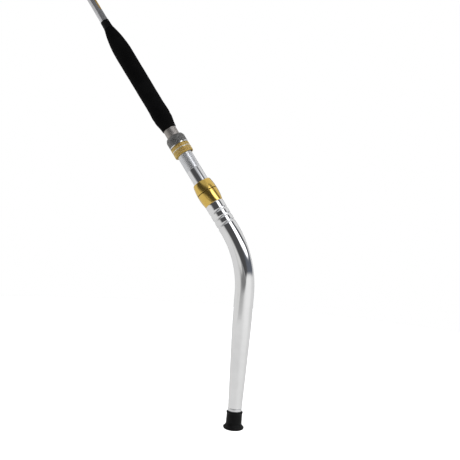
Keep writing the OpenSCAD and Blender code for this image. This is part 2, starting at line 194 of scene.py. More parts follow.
LAP = 0.3 * MM
butt_points = vertices("butt_tube")
leg_radius = np.hypot(butt_points[:, 0], butt_points[:, 1])
TUBE_R = butt_points[:, 1].max()
full_width = butt_points[:, 0] > TUBE_R - NEAR
TAPER_Z = butt_points[full_width, 2].min()
BEND_Z = butt_points[full_width, 2].max() - LAP
END_Z = butt_points[:, 2].min()
END_R = leg_radius[butt_points[:, 2] < END_Z + 3 * MM].max()
WALL = END_R - leg_radius[butt_points[:, 2] < END_Z + NEAR].min()
BEND = math.acos(UP[2])
BEND_R = (ELBOW[2] - BEND_Z) / math.tan(BEND / 2)
BEND_LEN = BEND_R * BEND


def on_butt(radius, angle, length, shift):
    """Points round the butt's bent axis, at a length along it from the foot."""
    radius, angle, length = np.broadcast_arrays(radius, angle, length)
    turn = np.clip((length - BEND_Z) / BEND_R, 0, BEND)
    reach = BEND_R + radius * np.cos(angle)
    points = np.stack((reach * np.cos(turn) - BEND_R,
                       radius * np.sin(angle),
                       BEND_Z + reach * np.sin(turn)), axis=-1)
    points += np.minimum(length - BEND_Z, 0)[..., None] * np.array((0.0, 0.0, 1.0))
    return points + np.maximum(length - BEND_Z - BEND_LEN, 0)[..., None] * UP


def butt_length(station):
    """Length along the butt's axis from the foot to a station above the bend."""
    return station - (ELBOW[2] - BEND_Z) + BEND_Z + BEND_LEN


# ---- outlines and closed parts ----

def rounded(corners, steps=4):
    """Closed outline with its corners rounded. A corner is x, y and the length it takes."""
    points = []
    for i, (x, y, size) in enumerate(corners):
        here = np.array((x, y))
        before = np.array(corners[i - 1][:2]) - here
        after = np.array(corners[(i + 1) % len(corners)][:2]) - here
        size = min(size, 0.48 * np.linalg.norm(before), 0.48 * np.linalg.norm(after))
        if size <= 0:
            points.append((x, y))
            continue
        start = here + before / np.linalg.norm(before) * size
        end = here + after / np.linalg.norm(after) * size
        for t in np.linspace(0, 1, steps + 1):
            points.append(tuple((1 - t) ** 2 * start + 2 * t * (1 - t) * here + t * t * end))
    return points


def refined(points, step):
    """The same outline with points added along every stretch that is longer than step."""
    made = []
    for here, after in zip(points, points[1:] + points[:1]):
        pieces = max(1, math.ceil(math.dist(here, after) / step))
        for i in range(pieces):
            made.append(tuple(np.array(here) + (np.array(after) - np.array(here)) * i / pieces))
    return made


def turned(points, place=on_rod, segments=96, shift=None, relief=None, mark=None, lead=None):
    """Part made by turning a closed outline of radius and station.

    shift(radius, station) moves a point's circle towards the reel side, relief(radius, station,
    angle) is taken off the radius, and mark(radius, station) is a number for the material.
    lead(radius, station, angle) gives the stations of a thread. Points at 0 and 360 degrees are
    merged with the mesh's other doubles.
    """
    radius, station = (column[:, None] for column in np.array(points, float).T)
    angle = np.linspace(0, 2 * math.pi, segments + 1)[None, :]
    moved = shift(radius, station) if shift else 0 * radius
    marks = mark(radius, station) if mark else 0 * radius
    station = lead(radius, station, angle) if lead else station + 0 * angle
    cut = relief(radius, station, angle) if relief else 0.0
    placed = place(radius - cut, angle, station, moved)
    rows, columns = placed.shape[:2]
    i, j = (grid.ravel() for grid in np.meshgrid(np.arange(rows), np.arange(segments), indexing="ij"))
    after = (i + 1) % rows
    faces = np.stack((i * columns + j, i * columns + j + 1,
                      after * columns + j + 1, after * columns + j), axis=1)
    return placed.reshape(-1, 3), faces.tolist(), station.ravel(), np.repeat(marks, columns)


def loft(loops, along):
    """Part that runs through loops of points, with a flat face at each end."""
    loops = np.asarray(loops)
    rows, columns = loops.shape[:2]
    faces = [(i * columns + j, i * columns + (j + 1) % columns,
              (i + 1) * columns + (j + 1) % columns, (i + 1) * columns + j)
             for i in range(rows - 1) for j in range(columns)]
    faces.append(tuple(range(columns)))
    faces.append(tuple(range((rows - 1) * columns, rows * columns)))
    return loops.reshape(-1, 3), faces, np.repeat(along, columns), np.zeros(rows * columns)


def inset(points, distance):
    """A closed outline moved inwards by a distance."""
    points = np.array(points, float)
    ahead = np.roll(points, -1, axis=0) - points
    area = np.sum(points[:, 0] * np.roll(points[:, 1], -1) - points[:, 1] * np.roll(points[:, 0], -1))
    normal = np.stack((-ahead[:, 1], ahead[:, 0]), axis=1) * np.sign(area)
    normal /= np.linalg.norm(normal, axis=1)[:, None]
    both = normal + np.roll(normal, 1, axis=0)
    spread = 1 + np.sum(normal * np.roll(normal, 1, axis=0), axis=1)
    return points + both / spread[:, None] * distance


def prism(points, side_0, side_1, bevel=0.3 * MM):
    """Plate or bar across the rod, from an outline of height and station, with bevelled edges."""
    points = np.array(points)
    small = inset(points, bevel)
    layers = ((small, side_0), (points, side_0 + bevel), (points, side_1 - bevel), (small, side_1))
    return loft([in_rod(layer[:, 0], side, layer[:, 1]) for layer, side in layers],
                [side for layer, side in layers])


def strip(rows, half_width, steps=8, centre=0.0):
    """Strip laid along the rod. A row is inner radius, outer radius, station and share of width."""
    loops = []
    for inner, outer, station, share in rows:
        half = half_width / outer * share
        angle = centre + np.linspace(-half, half, steps + 1)
        loops.append(np.concatenate((on_rod(outer, angle, station, 0.0),
                                     on_rod(inner, angle[::-1], station, 0.0))))
    return loft(loops, [row[2] for row in rows])


def knurled(below, above, crest_r, depth, pitch, round_count, mark_plain=None):
    """Turned part with a band of diamond knurling between two open outlines.

    The outlines are radius and station, and meet in the bore. The band runs from the last point
    of below to the first of above. Crests carry the mark 1 and valleys 0.
    """
    columns = 2 * round_count
    angle = np.linspace(0, 2 * math.pi, columns, endpoint=False)
    band_0, band_1 = below[-1][1], above[0][1]
    rows = max(4, 2 * round((band_1 - band_0) / pitch))
    height = (band_1 - band_0) / rows
    valley_r = crest_r - depth
    points, along, marks, faces = [], [], [], []

    def add(radius, angles, station, mark):
        """Adds points at one station, and returns their numbers."""
        angles = np.atleast_1d(angles)
        first = len(along)
        points.append(on_rod(radius, angles, station, 0.0))
        along.extend([station] * len(angles))
        marks.extend([mark] * len(angles))
        return np.arange(first, first + len(angles))

    def plain_mark(radius, station):
        return float(mark_plain(radius, station)) if mark_plain else 0.0

    rings = [add(r, angle, s, plain_mark(r, s)) for r, s in below[:-1]]
    band = [add(valley_r, angle, band_0 + height * j, 0.0) for j in range(rows + 1)]
    rings_above = [add(r, angle, s, plain_mark(r, s)) for r, s in above[1:]]
    for lower, upper in [*zip(rings, rings[1:]), (rings[-1], band[0]), (band[-1], rings_above[0]),
                         *zip(rings_above, rings_above[1:]), (rings_above[-1], rings[0])]:
        for m in range(columns):
            after = (m + 1) % columns
            faces.append((lower[m], lower[after], upper[after], upper[m]))
    flat = 0.34
    for j in range(rows + 1):
        for m in range(j % 2, columns, 2):
            left, right = band[j][m - 1], band[j][(m + 1) % columns]
            middle = band[j][m]
            if j == 0:
                tip = band[1][m]
                faces.extend([(left, middle, tip), (middle, right, tip)])
                continue
            if j == rows:
                tip = band[rows - 1][m]
                faces.extend([(middle, left, tip), (right, middle, tip)])
                continue
            down, up = band[j - 1][m], band[j + 1][m]
            half_angle = math.pi / round_count * flat
            station = band_0 + height * j
            l, r = add(crest_r, angle[m] + np.array((-half_angle, half_angle)), station, 1.0)
            (u,) = add(crest_r, angle[m], station + height * flat, 1.0)
            (d,) = add(crest_r, angle[m], station - height * flat, 1.0)
            faces.extend([(l, d, r, u), (left, down, d, l), (down, right, r, d),
                          (right, up, u, r), (up, left, l, u)])
    faces = [tuple(int(v) for v in face) for face in faces]
    return np.concatenate(points), faces, np.array(along), np.array(marks)


# ---- pieces ----

def mesh_from(name, parts):
    """A mesh of closed parts, with each point's station and mark as attributes."""
    points, faces, along, marks = [], [], [], []
    for part_points, part_faces, part_along, part_marks in parts:
        first = sum(len(some) for some in points)
        points.append(part_points)
        faces.extend([tuple(v + first for v in face) for face in part_faces])
        along.append(part_along)
        marks.append(part_marks)
    mesh = bpy.data.meshes.new(name)
    mesh.from_pydata(np.concatenate(points), [], faces)
    for attribute, values in (("along", along), ("mark", marks)):
        data = mesh.attributes.new(attribute, "FLOAT", "POINT").data
        data.foreach_set("value", np.concatenate(values).astype(np.float32))
    work = bmesh.new()
    work.from_mesh(mesh)
    loose = [v for v in work.verts if not v.link_faces]
    bmesh.ops.delete(work, geom=loose, context="VERTS")
    bmesh.ops.remove_doubles(work, verts=work.verts, dist=1e-7)
    bmesh.ops.recalc_face_normals(work, faces=work.faces)
    work.to_mesh(mesh)
    work.free()
    return mesh


def subtract(obj, parts):
    """Cuts closed parts out of a piece's mesh."""
    cutter = bpy.data.objects.new("cutter", mesh_from("cutter", parts))
    bpy.context.scene.collection.objects.link(cutter)
    modifier = obj.modifiers.new("cut", "BOOLEAN")
    modifier.operation = "DIFFERENCE"
    modifier.solver = "EXACT"
    modifier.object = cutter
    bpy.context.view_layer.update()
    shown = obj.evaluated_get(bpy.context.evaluated_depsgraph_get())
    cut_mesh = bpy.data.meshes.new_from_object(shown)
    obj.modifiers.clear()
    obj.data = cut_mesh
    bpy.data.objects.remove(cutter)


def piece(name, body, slot, parts, replaces=(), cuts=(), material=None, smooth_angle=32):
    """Makes a piece from closed parts, shades it, and ties it to the frame."""
    obj = bpy.data.objects.new(name, mesh_from(name, parts))
    bpy.context.scene.collection.objects.link(obj)
    if cuts:
        subtract(obj, cuts)
    obj.data.materials.clear()
    obj.data.materials.append(material or MATERIALS[slot])
    obj.data.shade_smooth()
    obj.data.set_sharp_from_angle(angle=math.radians(smooth_angle))
    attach(obj, body)
    if replaces:
        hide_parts(*replaces)
    return obj


# ---- materials ----

# Most of a noise's values lie in this range.
USUAL = (0.3, 0.7)


class Nodes:
    """Shorthands for adding nodes to a tree."""

    def __init__(self, tree):
        self.tree = tree

    def node(self, kind, inputs=None, output=0, **settings):
        """Adds a node, and returns one of its outputs."""
        made = self.tree.nodes.new("ShaderNode" + kind)
        for name, value in settings.items():
            setattr(made, name, value)
        for name, value in (inputs or {}).items():
            if isinstance(value, bpy.types.NodeSocket):
                self.tree.links.new(value, made.inputs[name])
            else:
                made.inputs[name].default_value = value
        return made.outputs[output]

    def math(self, operation, a, b=0.0):
        return self.node("Math", {0: a, 1: b}, operation=operation)

    def blend(self, share, colour_a, colour_b):
        """Mix of two colours, each a socket or three numbers."""
        made = self.tree.nodes.new("ShaderNodeMix")
        made.data_type = "RGBA"
        for index, value in ((0, share), (6, colour_a), (7, colour_b)):
            if isinstance(value, bpy.types.NodeSocket):
                self.tree.links.new(value, made.inputs[index])
            else:
                made.inputs[index].default_value = value if index == 0 else (*value, 1)
        return made.outputs[2]


class Surface(Nodes):
    """A principled material whose colour, roughness and bump come from nodes."""

    def __init__(self, name, metallic, **constants):
        self.material = bpy.data.materials.new(name)
        self.material.use_nodes = True
        super().__init__(self.material.node_tree)
        self.shader = self.tree.nodes["Principled BSDF"]
        self.shader.inputs["Metallic"].default_value = metallic
        for socket, value in constants.items():
            self.shader.inputs[socket.replace("_", " ")].default_value = value
        self.position = self.node("TexCoord", output="Object")
        self.along = self.node("Attribute", output="Fac", attribute_name="along")
        self.mark = self.node("Attribute", output="Fac", attribute_name="mark")

    def span(self, value, low, high, new_low=0.0, new_high=1.0):
        """Value from one range smoothly moved to another, and held inside it."""
        return self.node("MapRange", {"Value": value, "From Min": low, "From Max": high,
                                      "To Min": new_low, "To Max": new_high},
                         interpolation_type="SMOOTHSTEP")

    def noise(self, scale, detail=3.0, stretch=None):
        """Noise with about scale features per metre."""
        vector = self.position
        if stretch:
            vector = self.node("VectorMath", {0: self.position, 1: stretch}, operation="MULTIPLY")
        return self.node("TexNoise", {"Vector": vector, "Scale": scale, "Detail": detail})

    def lines(self, per_metre, detail=2.0):
        """Noise that only changes along the piece, like the marks of turning or polishing."""
        return self.node("TexNoise", {"W": self.along, "Scale": per_metre, "Detail": detail},
                         noise_dimensions="1D")

    def bumps(self, *layers):
        """Bump from layers of height and depth in metres, one over the other."""
        normal = None
        for height, depth in layers:
            inputs = {"Height": height, "Distance": depth, "Strength": 1.0}
            if normal:
                inputs["Normal"] = normal
            normal = self.node("Bump", inputs)
        self.tree.links.new(normal, self.shader.inputs["Normal"])

    def set(self, **sockets):
        """Links node outputs to the shader's inputs."""
        for name, value in sockets.items():
            self.tree.links.new(value, self.shader.inputs[name.replace("_", " ")])


def polished(name, colour, dull, roughness, marks_depth, wear=0.0):
    """Turned and polished metal, satin where marked 1, with painted shade where marked 2."""
    made = Surface(name, 1.0)
    smudge = made.noise(34, 4)
    fine = made.lines(9000)
    rough = made.math("ADD", made.span(smudge, 0.38, 0.66, *roughness),
                      made.span(fine, *USUAL, -0.012, 0.012))
    if wear:
        rubbed = made.math("MULTIPLY", made.span(made.along, 0.3, 0.1),
                           made.span(made.noise(1, 4, stretch=(260, 260, 14)), *USUAL, 0.55, 1))
        rough = made.math("ADD", rough, made.math("MULTIPLY", rubbed, wear))
    satin_share = made.span(made.mark, 0.2, 0.8)
    rough = made.math("ADD", rough, made.math("MULTIPLY", satin_share, 0.32))
    # Where marked 2, the floor of the barrel's seam groove, the near-black brown is painted shade.
    painted_seam_shade = made.span(made.mark, 1.2, 1.8)
    clean = made.blend(made.span(smudge, 0.35, 0.7), colour, dull)
    made.set(Base_Color=made.blend(painted_seam_shade, clean, (0.09, 0.06, 0.02)), Roughness=rough)
    made.bumps((fine, marks_depth), (made.noise(420, 2), 0.000008))
    return made.material


def seat_metal(name):
    """Mirror-polished below, with a duller, oily thread above, which carries the mark."""
    made = Surface(name, 1.0)
    smudge = made.noise(40, 4)
    thread = made.span(made.mark, 0.2, 0.8)
    rough = made.math("ADD", made.span(smudge, 0.38, 0.66, 0.045, 0.085),
                      made.math("MULTIPLY", thread, 0.24))
    colour = made.blend(thread, (0.9, 0.905, 0.915), (0.78, 0.79, 0.81))
    made.set(Base_Color=made.blend(made.span(smudge, 0.5, 0.8, 0, 0.5), colour, (0.8, 0.8, 0.8)),
             Roughness=rough)
    made.bumps((made.lines(9000), 0.0000006), (made.noise(300, 2), 0.000006))
    return made.material


def knurled_metal(name, valley, crest, bright, roughness, bright_shine):
    """Anodised knurling, rubbed paler on its crests and darker in its valleys."""
    made = Surface(name, 1.0)
    patch = made.noise(90, 4)
    worn = made.math("MULTIPLY", made.span(made.mark, 0.1, 1.0), made.span(patch, 0.3, 0.62, 0.6, 1))
    cut = made.span(made.mark, 1.2, 1.8)
    colour = made.blend(cut, made.blend(worn, valley, crest), bright)
    rough = made.math("SUBTRACT", made.span(made.noise(700, 2), *USUAL, *roughness),
                      made.math("MULTIPLY", cut, bright_shine))
    made.set(Base_Color=colour, Roughness=rough)
    made.bumps((made.noise(5200, 2), 0.00003))
    return made.material


def satin(name, colour, dull, roughness, per_metre, depth):
    """Brushed or turned metal with visible tool marks round it."""
    made = Surface(name, 1.0)
    marks = made.lines(per_metre, 3)
    patch = made.noise(60, 3)
    made.set(Base_Color=made.blend(made.span(marks, *USUAL), colour, dull),
             Roughness=made.math("ADD", made.span(patch, *USUAL, *roughness),
                                 made.span(marks, *USUAL, -0.04, 0.04)))
    made.bumps((marks, depth))
    return made.material


def rubber(name):
    """Moulded black rubber, with flow marks, a fine grain and a little grey dust."""
    made = Surface(name, 0.0, Specular_IOR_Level=0.14)
    grain = made.noise(2600, 3)
    dust = made.math("MULTIPLY", made.span(made.noise(75, 5), 0.5, 0.78), 0.35)
    made.set(Base_Color=made.blend(dust, (0.0035, 0.0035, 0.0038), (0.02, 0.02, 0.019)),
             Roughness=made.span(made.noise(150, 3), *USUAL, 0.36, 0.52))
    made.bumps((made.noise(1, 3, stretch=(420, 420, 60)), 0.00016), (grain, 0.00006))
    return made.material


def foam(name):
    """Closed-cell foam: sanded matt black skin with fine open cells darkened by painted shade, and paler
    rubbed patches.
    """
    made = Surface(name, 0.0, Specular_IOR_Level=0.07)
    cells = made.node("TexVoronoi", {"Vector": made.position, "Scale": 950.0}, output="Distance")
    pores_and_painted_shade = made.span(cells, 0.02, 0.42)
    rubbed = made.math("MULTIPLY", made.span(made.noise(30, 5), 0.45, 0.75), 0.6)
    skin = made.blend(rubbed, (0.0026, 0.0026, 0.0028), (0.006, 0.006, 0.0062))
    # The cells' darker colour is painted shade in the hollows, and the bump below dimples them.
    made.set(Base_Color=made.blend(pores_and_painted_shade, (0.0012, 0.0012, 0.0012), skin),
             Roughness=made.span(made.noise(400, 2), *USUAL, 0.72, 0.92))
    made.bumps((made.noise(240, 3), 0.00008), (pores_and_painted_shade, 0.00012))
    return made.material


def lacquered(name):
    """Grey metallic paint under clear lacquer, with the slow waves of a wound blank beneath."""
    made = Surface(name, 0.88, Coat_Weight=0.6, Coat_Roughness=0.05)
    flake = made.noise(5200, 2)
    wound = made.lines(160, 2)
    colour = made.blend(made.span(flake, 0.35, 0.65), (0.7, 0.7, 0.72), (0.8, 0.8, 0.82))
    made.set(Base_Color=made.blend(made.span(wound, *USUAL, 0, 0.25), colour, (0.6, 0.6, 0.62)),
             Roughness=made.span(made.noise(60, 3), *USUAL, 0.14, 0.2))
    made.bumps((wound, 0.00002), (made.noise(300, 2), 0.00001))
    return made.material


def foil(name):
    """Gold foil band under lacquer."""
    made = Surface(name, 0.35, Coat_Weight=0.5, Coat_Roughness=0.06)
    grain = made.noise(1800, 3)
    made.set(Base_Color=made.blend(made.span(grain, *USUAL), (0.58, 0.36, 0.05), (0.48, 0.28, 0.035)),
             Roughness=made.span(made.noise(200, 3), *USUAL, 0.26, 0.4))
    made.bumps((grain, 0.000015))
    return made.material


def thread_wrap(name):
    """Tight turns of black thread, with a metallic trim where marked, under domed epoxy."""
    made = Surface(name, 0.0, Coat_Weight=1.0, Coat_Roughness=0.04)
    turns = made.node("TexWave", {"Vector": made.node("CombineXYZ", {"X": made.along}),
                                  "Scale": 620.0, "Distortion": 0.4, "Detail": 1.0})
    trim = made.span(made.mark, 0.4, 0.6)
    black = made.blend(turns, (0.004, 0.004, 0.005), (0.028, 0.028, 0.032))
    gold = made.blend(turns, (0.3, 0.17, 0.02), (0.8, 0.52, 0.12))
    made.set(Base_Color=made.blend(trim, black, gold),
             Roughness=made.span(made.noise(500, 2), *USUAL, 0.36, 0.5),
             Metallic=made.math("MULTIPLY", trim, 0.8))
    made.bumps((turns, 0.00004), (made.noise(130, 2), 0.0002))
    return made.material


def bronze(name):
    """Sintered bronze: tiny pores darkened by painted shade, and an oily, uneven colour."""
    made = Surface(name, 1.0)
    pores_and_painted_shade = made.node("TexVoronoi", {"Vector": made.position, "Scale": 3600.0}, output="Distance")
    stain = made.noise(260, 4)
    colour = made.blend(made.span(stain, 0.35, 0.65), (0.5, 0.27, 0.1), (0.3, 0.17, 0.08))
    # The near-black colour of the pores is painted shade in the hollows.
    made.set(Base_Color=made.blend(made.span(pores_and_painted_shade, 0.0, 0.3), (0.05, 0.03, 0.02), colour),
             Roughness=made.span(stain, *USUAL, 0.25, 0.42))
    made.bumps((pores_and_painted_shade, 0.00005))
    return made.material


GOLD = (0.88, 0.61, 0.16)
MATERIALS = {
    "polished_aluminium": polished("polished_aluminium", (0.93, 0.93, 0.93), (0.89, 0.89, 0.89),
                                   (0.035, 0.07), 0.0000004, wear=0.05),
    "nock_aluminium": satin("nock_aluminium", (0.86, 0.86, 0.87), (0.74, 0.74, 0.75),
                            (0.16, 0.24), 2600, 0.00001),
    "seat_aluminium": seat_metal("seat_aluminium"),
    "gold_anodised": polished("gold_anodised", GOLD, (0.84, 0.57, 0.14), (0.15, 0.21), 0.000001),
    "gold_knurled": knurled_metal("gold_knurled", (0.66, 0.46, 0.12), (0.98, 0.8, 0.42),
                                  (0.95, 0.94, 0.91), (0.42, 0.56), 0.1),
    "gunmetal_knurled": knurled_metal("gunmetal_knurled", (0.22, 0.217, 0.21),
                                      (0.44, 0.435, 0.425), (0.86, 0.86, 0.86), (0.42, 0.54), 0.34),
    "satin_ferrule": satin("satin_ferrule", (0.47, 0.44, 0.412), (0.43, 0.404, 0.38),
                           (0.42, 0.5), 7000, 0.0000007),
    "washer_steel": satin("washer_steel", (0.86, 0.85, 0.84), (0.72, 0.71, 0.7),
                          (0.12, 0.22), 9000, 0.000004),
    "cap_rubber": rubber("cap_rubber"),
    "eva_foam": foam("eva_foam"),
    "blank_gloss": lacquered("blank_gloss"),
    "thread_wrap": thread_wrap("thread_wrap"),
    "guide_frame": polished("guide_frame", (0.74, 0.74, 0.75), (0.62, 0.62, 0.63),
                            (0.1, 0.2), 0.000001),
    "guide_axle": satin("guide_axle", (0.66, 0.66, 0.67), (0.5, 0.5, 0.51), (0.18, 0.28), 8000,
                        0.000005),
    "guide_roller": satin("guide_roller", GOLD, (0.72, 0.46, 0.12), (0.12, 0.2), 6000, 0.000005),
    "guide_bush": bronze("guide_bush"),
}
LABEL_FOIL = foil("label_foil")


# ---- butt ----

COVE_FIRST = 20.3 * MM
COVE_PITCH = 16 * MM
COVE_COUNT = 3
COVE_HALF = 3.3 * MM
COVE_DEPTH = 0.9 * MM
COVE_STEPS = 12


def make_butt():
    """The bent tube, open at both ends, with its coves below the barrel."""
    bore_r = TUBE_R - WALL
    top = butt_length(ends("lower_collar")[0]) - GAP
    outside = [(END_R - WALL, END_Z, 0.5 * MM), (END_R, END_Z, 1.6 * MM),
               (TUBE_R, TAPER_Z, 20 * MM)]
    for i in reversed(range(COVE_COUNT)):
        middle = top - COVE_FIRST - i * COVE_PITCH
        outside.append((TUBE_R, middle - COVE_HALF - 0.3 * MM, 0))
        for t in np.linspace(-1, 1, COVE_STEPS + 1):
            outside.append((TUBE_R - COVE_DEPTH * (1 - t * t), middle + COVE_HALF * t, 0))
        outside.append((TUBE_R, middle + COVE_HALF + 0.3 * MM, 0))
    outside += [(TUBE_R, top, 0.4 * MM), (bore_r, top, 0), (bore_r, TAPER_Z, 0)]
    points = refined(rounded(outside), 4 * MM)

    def in_cove(radius, length):
        below = top - COVE_FIRST - length + COVE_HALF
        inside = (below % COVE_PITCH < 2 * COVE_HALF) & (below > 0)
        return (inside & (below < COVE_COUNT * COVE_PITCH) & (radius > bore_r + NEAR)) * 1.0

    piece("butt_shell", "butt", "polished_aluminium",
          [turned(points, place=on_butt, segments=128, mark=in_cove)], replaces=["butt_tube"])


SLOT_HALF = 3.3 * MM
SLOT_TOP = 23.5 * MM
NOCK_GROOVE = 1.2 * MM


def make_nock():
    """The cross-slotted end piece, with chamfered edges, a groove under its collar and a plug."""
    heights, radii = leg_outline("gimbal_nock")
    foot, collar_z, top = heights[0], heights[heights > 40 * MM][0], heights[-1]
    collar_r, body_r = radii.max(), radii[0]
    plug_r = radii[-1]
    outside = [(0, foot, 0), (body_r, foot, 1 * MM), (body_r, collar_z - NOCK_GROOVE, 0),
               (body_r - 0.5 * MM, collar_z - 0.7 * NOCK_GROOVE, 0),
               (body_r - 0.5 * MM, collar_z, 0), (collar_r, collar_z, 0.9 * MM),
               (collar_r, END_Z - GAP, 0.7 * MM), (plug_r, END_Z - GAP, 0),
               (plug_r, top, 1.2 * MM), (0, top, 0)]
    slots = []
    for turn in (0, math.pi / 2):
        corners = rounded([(-SLOT_HALF, foot - 2 * MM, 0), (SLOT_HALF, foot - 2 * MM, 0),
                           (SLOT_HALF, foot, 0), (SLOT_HALF, SLOT_TOP, 1.5 * MM),
                           (-SLOT_HALF, SLOT_TOP, 1.5 * MM), (-SLOT_HALF, foot, 0)])
        wide, high = np.array(corners).T
        loops = []
        for reach in (-1.2 * body_r, 1.2 * body_r):
            loops.append(np.stack((wide * math.cos(turn) - reach * math.sin(turn),
                                   wide * math.sin(turn) + reach * math.cos(turn), high), axis=-1))
        slots.append(loft(loops, [foot, foot]))
    nock = piece("nock", "butt", "nock_aluminium",
                 [turned(rounded(outside), place=on_leg)], replaces=["gimbal_nock"],
                 cuts=slots[:1])
    subtract(nock, slots[1:])
    nock.data.set_sharp_from_angle(angle=math.radians(32))


CAP_DOME_H = 5 * MM
CAP_RIM_H = 2.4 * MM
CAP_FLARE_H = 8 * MM
CAP_BODY_R = 17.3 * MM
CAP_WAIST_R = 16.95 * MM
CAP_LIP = 1.2 * MM
CAP_TREADS = (4.5 * MM, 7 * MM, 9.5 * MM)


def make_cap():
    """The rubber cap: domed foot with tread grooves, flared rim, body and rolled bead."""
    heights, radii = leg_outline("gimbal_cap")
    rim_r, flat_r, top = radii.max(), radii[0], heights[-1]
    bead_r = radii[heights > top - 3 * MM].max()
    inner_r = leg_outline("gimbal_nock")[1][0] + 0.05 * MM
    floor = 9 * MM
    outside = [(0, 0, 0)]
    for tread in CAP_TREADS:
        outside += [(tread - 0.7 * MM, 0, 0.3 * MM), (tread - 0.4 * MM, 0.8 * MM, 0.3 * MM),
                    (tread + 0.4 * MM, 0.8 * MM, 0.3 * MM), (tread + 0.7 * MM, 0, 0.3 * MM)]
    for t in np.linspace(0, 1, 11)[:-1]:
        outside.append((flat_r + (rim_r - flat_r) * math.sin(t * math.pi / 2),
                        CAP_DOME_H * (1 - math.cos(t * math.pi / 2)), 0))
    outside += [(rim_r, CAP_DOME_H, 0.5 * MM), (rim_r, CAP_DOME_H + CAP_RIM_H, 0.8 * MM)]
    for t in np.linspace(0, 1, 13)[1:]:
        outside.append((CAP_BODY_R + (rim_r - CAP_BODY_R) * (1 - t) ** 2,
                        CAP_DOME_H + CAP_RIM_H + CAP_FLARE_H * t, 0))
    outside += [(CAP_WAIST_R, top - 4.6 * MM, 2 * MM), (bead_r, top - 3.2 * MM, 1 * MM),
                (bead_r, top, 1.5 * MM), (inner_r + CAP_LIP, top, 0.6 * MM),
                (inner_r, top - CAP_LIP, 0.5 * MM), (inner_r, floor, 1 * MM), (0, floor, 0)]
    piece("butt_cap", "cap", "cap_rubber",
          [turned(refined(rounded(outside), 3 * MM), place=on_leg)], replaces=["gimbal_cap"])


# ---- reel seat ----

BARREL_EDGE = 0.8 * MM
BARREL_POWER = 2.2
SEAM_HALF = 0.8 * MM
SEAM_DEPTH = 1.2 * MM
POCKET_R = 17.5 * MM
HOOD_POCKET_R = 18.1 * MM
POCKET_SHIFT = 1.6 * MM
POCKET_DEPTH = 14 * MM
HOOD_POCKET_DEPTH = 9 * MM


def make_barrel():
    """The two polished gold halves of the barrel. The upper one has the reel foot's pocket."""
    low, seam = ends("lower_collar")
    top = ends("fixed_hood")[1]
    seat_r = bore("lower_collar")
    end_r = outline("lower_collar")[1][0] + BARREL_EDGE
    middle_r = outline("lower_collar")[1].max()

    def outer(station):
        t = abs(2 * (station - low) / (top - low) - 1)
        return end_r + (middle_r - 0.01 * MM - end_r) * (1 - t ** BARREL_POWER)

    def curve(start, end, edge_start, edge_end):
        inner = np.linspace(start, end, 22)
        corners = [(outer(s), s, 0) for s in inner[1:-1]]
        return [(outer(start), start, edge_start), *corners, (outer(end), end, edge_end)]

    floor_r = outer(seam) - SEAM_DEPTH
    lower = [(seat_r, low, 0), *curve(low, seam - SEAM_HALF, 1.1 * MM, 0.15 * MM),
             (floor_r, seam - SEAM_HALF, 0), (floor_r, seam, 0), (seat_r, seam, 0)]

    # The seam groove's floor is marked 2, where the gold material paints a dark shade.
    def mark(radius, station):
        beside_seam = np.abs(station - seam) < SEAM_HALF + NEAR
        return np.where((radius < floor_r + NEAR) & beside_seam, 2.0, 0.0)

    piece("barrel_lower", "butt", "gold_anodised",
          [turned(rounded(lower), segments=128, mark=mark)], replaces=["lower_collar"])
    seam = ends("fixed_hood")[0]
    floor = top - POCKET_DEPTH
    upper = [(seat_r, seam, 0), (floor_r, seam, 0), (floor_r, seam + SEAM_HALF, 0),
             *curve(seam + SEAM_HALF, top, 0.15 * MM, 0.8 * MM), (POCKET_R, top, 0.4 * MM),
             (POCKET_R, floor, 0), (seat_r, floor, 0)]

    def shift(radius, station):
        in_pocket = (radius < POCKET_R + 0.5 * MM) & (radius > POCKET_R - NEAR)
        return np.where(in_pocket & (station > floor - NEAR), POCKET_SHIFT, 0)

    piece("barrel_upper", "butt", "gold_anodised",
          [turned(rounded(upper), segments=128, shift=shift, mark=mark)], replaces=["fixed_hood"])


THREAD_PITCH = 1.5 * MM
THREAD_DEPTH = 0.2 * MM
THREAD_GROOVE = 0.16
THREAD_START = 231 * MM
THREAD_RELIEF = 1.6 * MM
KEYWAY_HALF = 2 * MM
KEYWAY_LEN = 5.9 * MM
STEP_DEPTH = 2.5 * MM
BORE_FOOT = 222 * MM


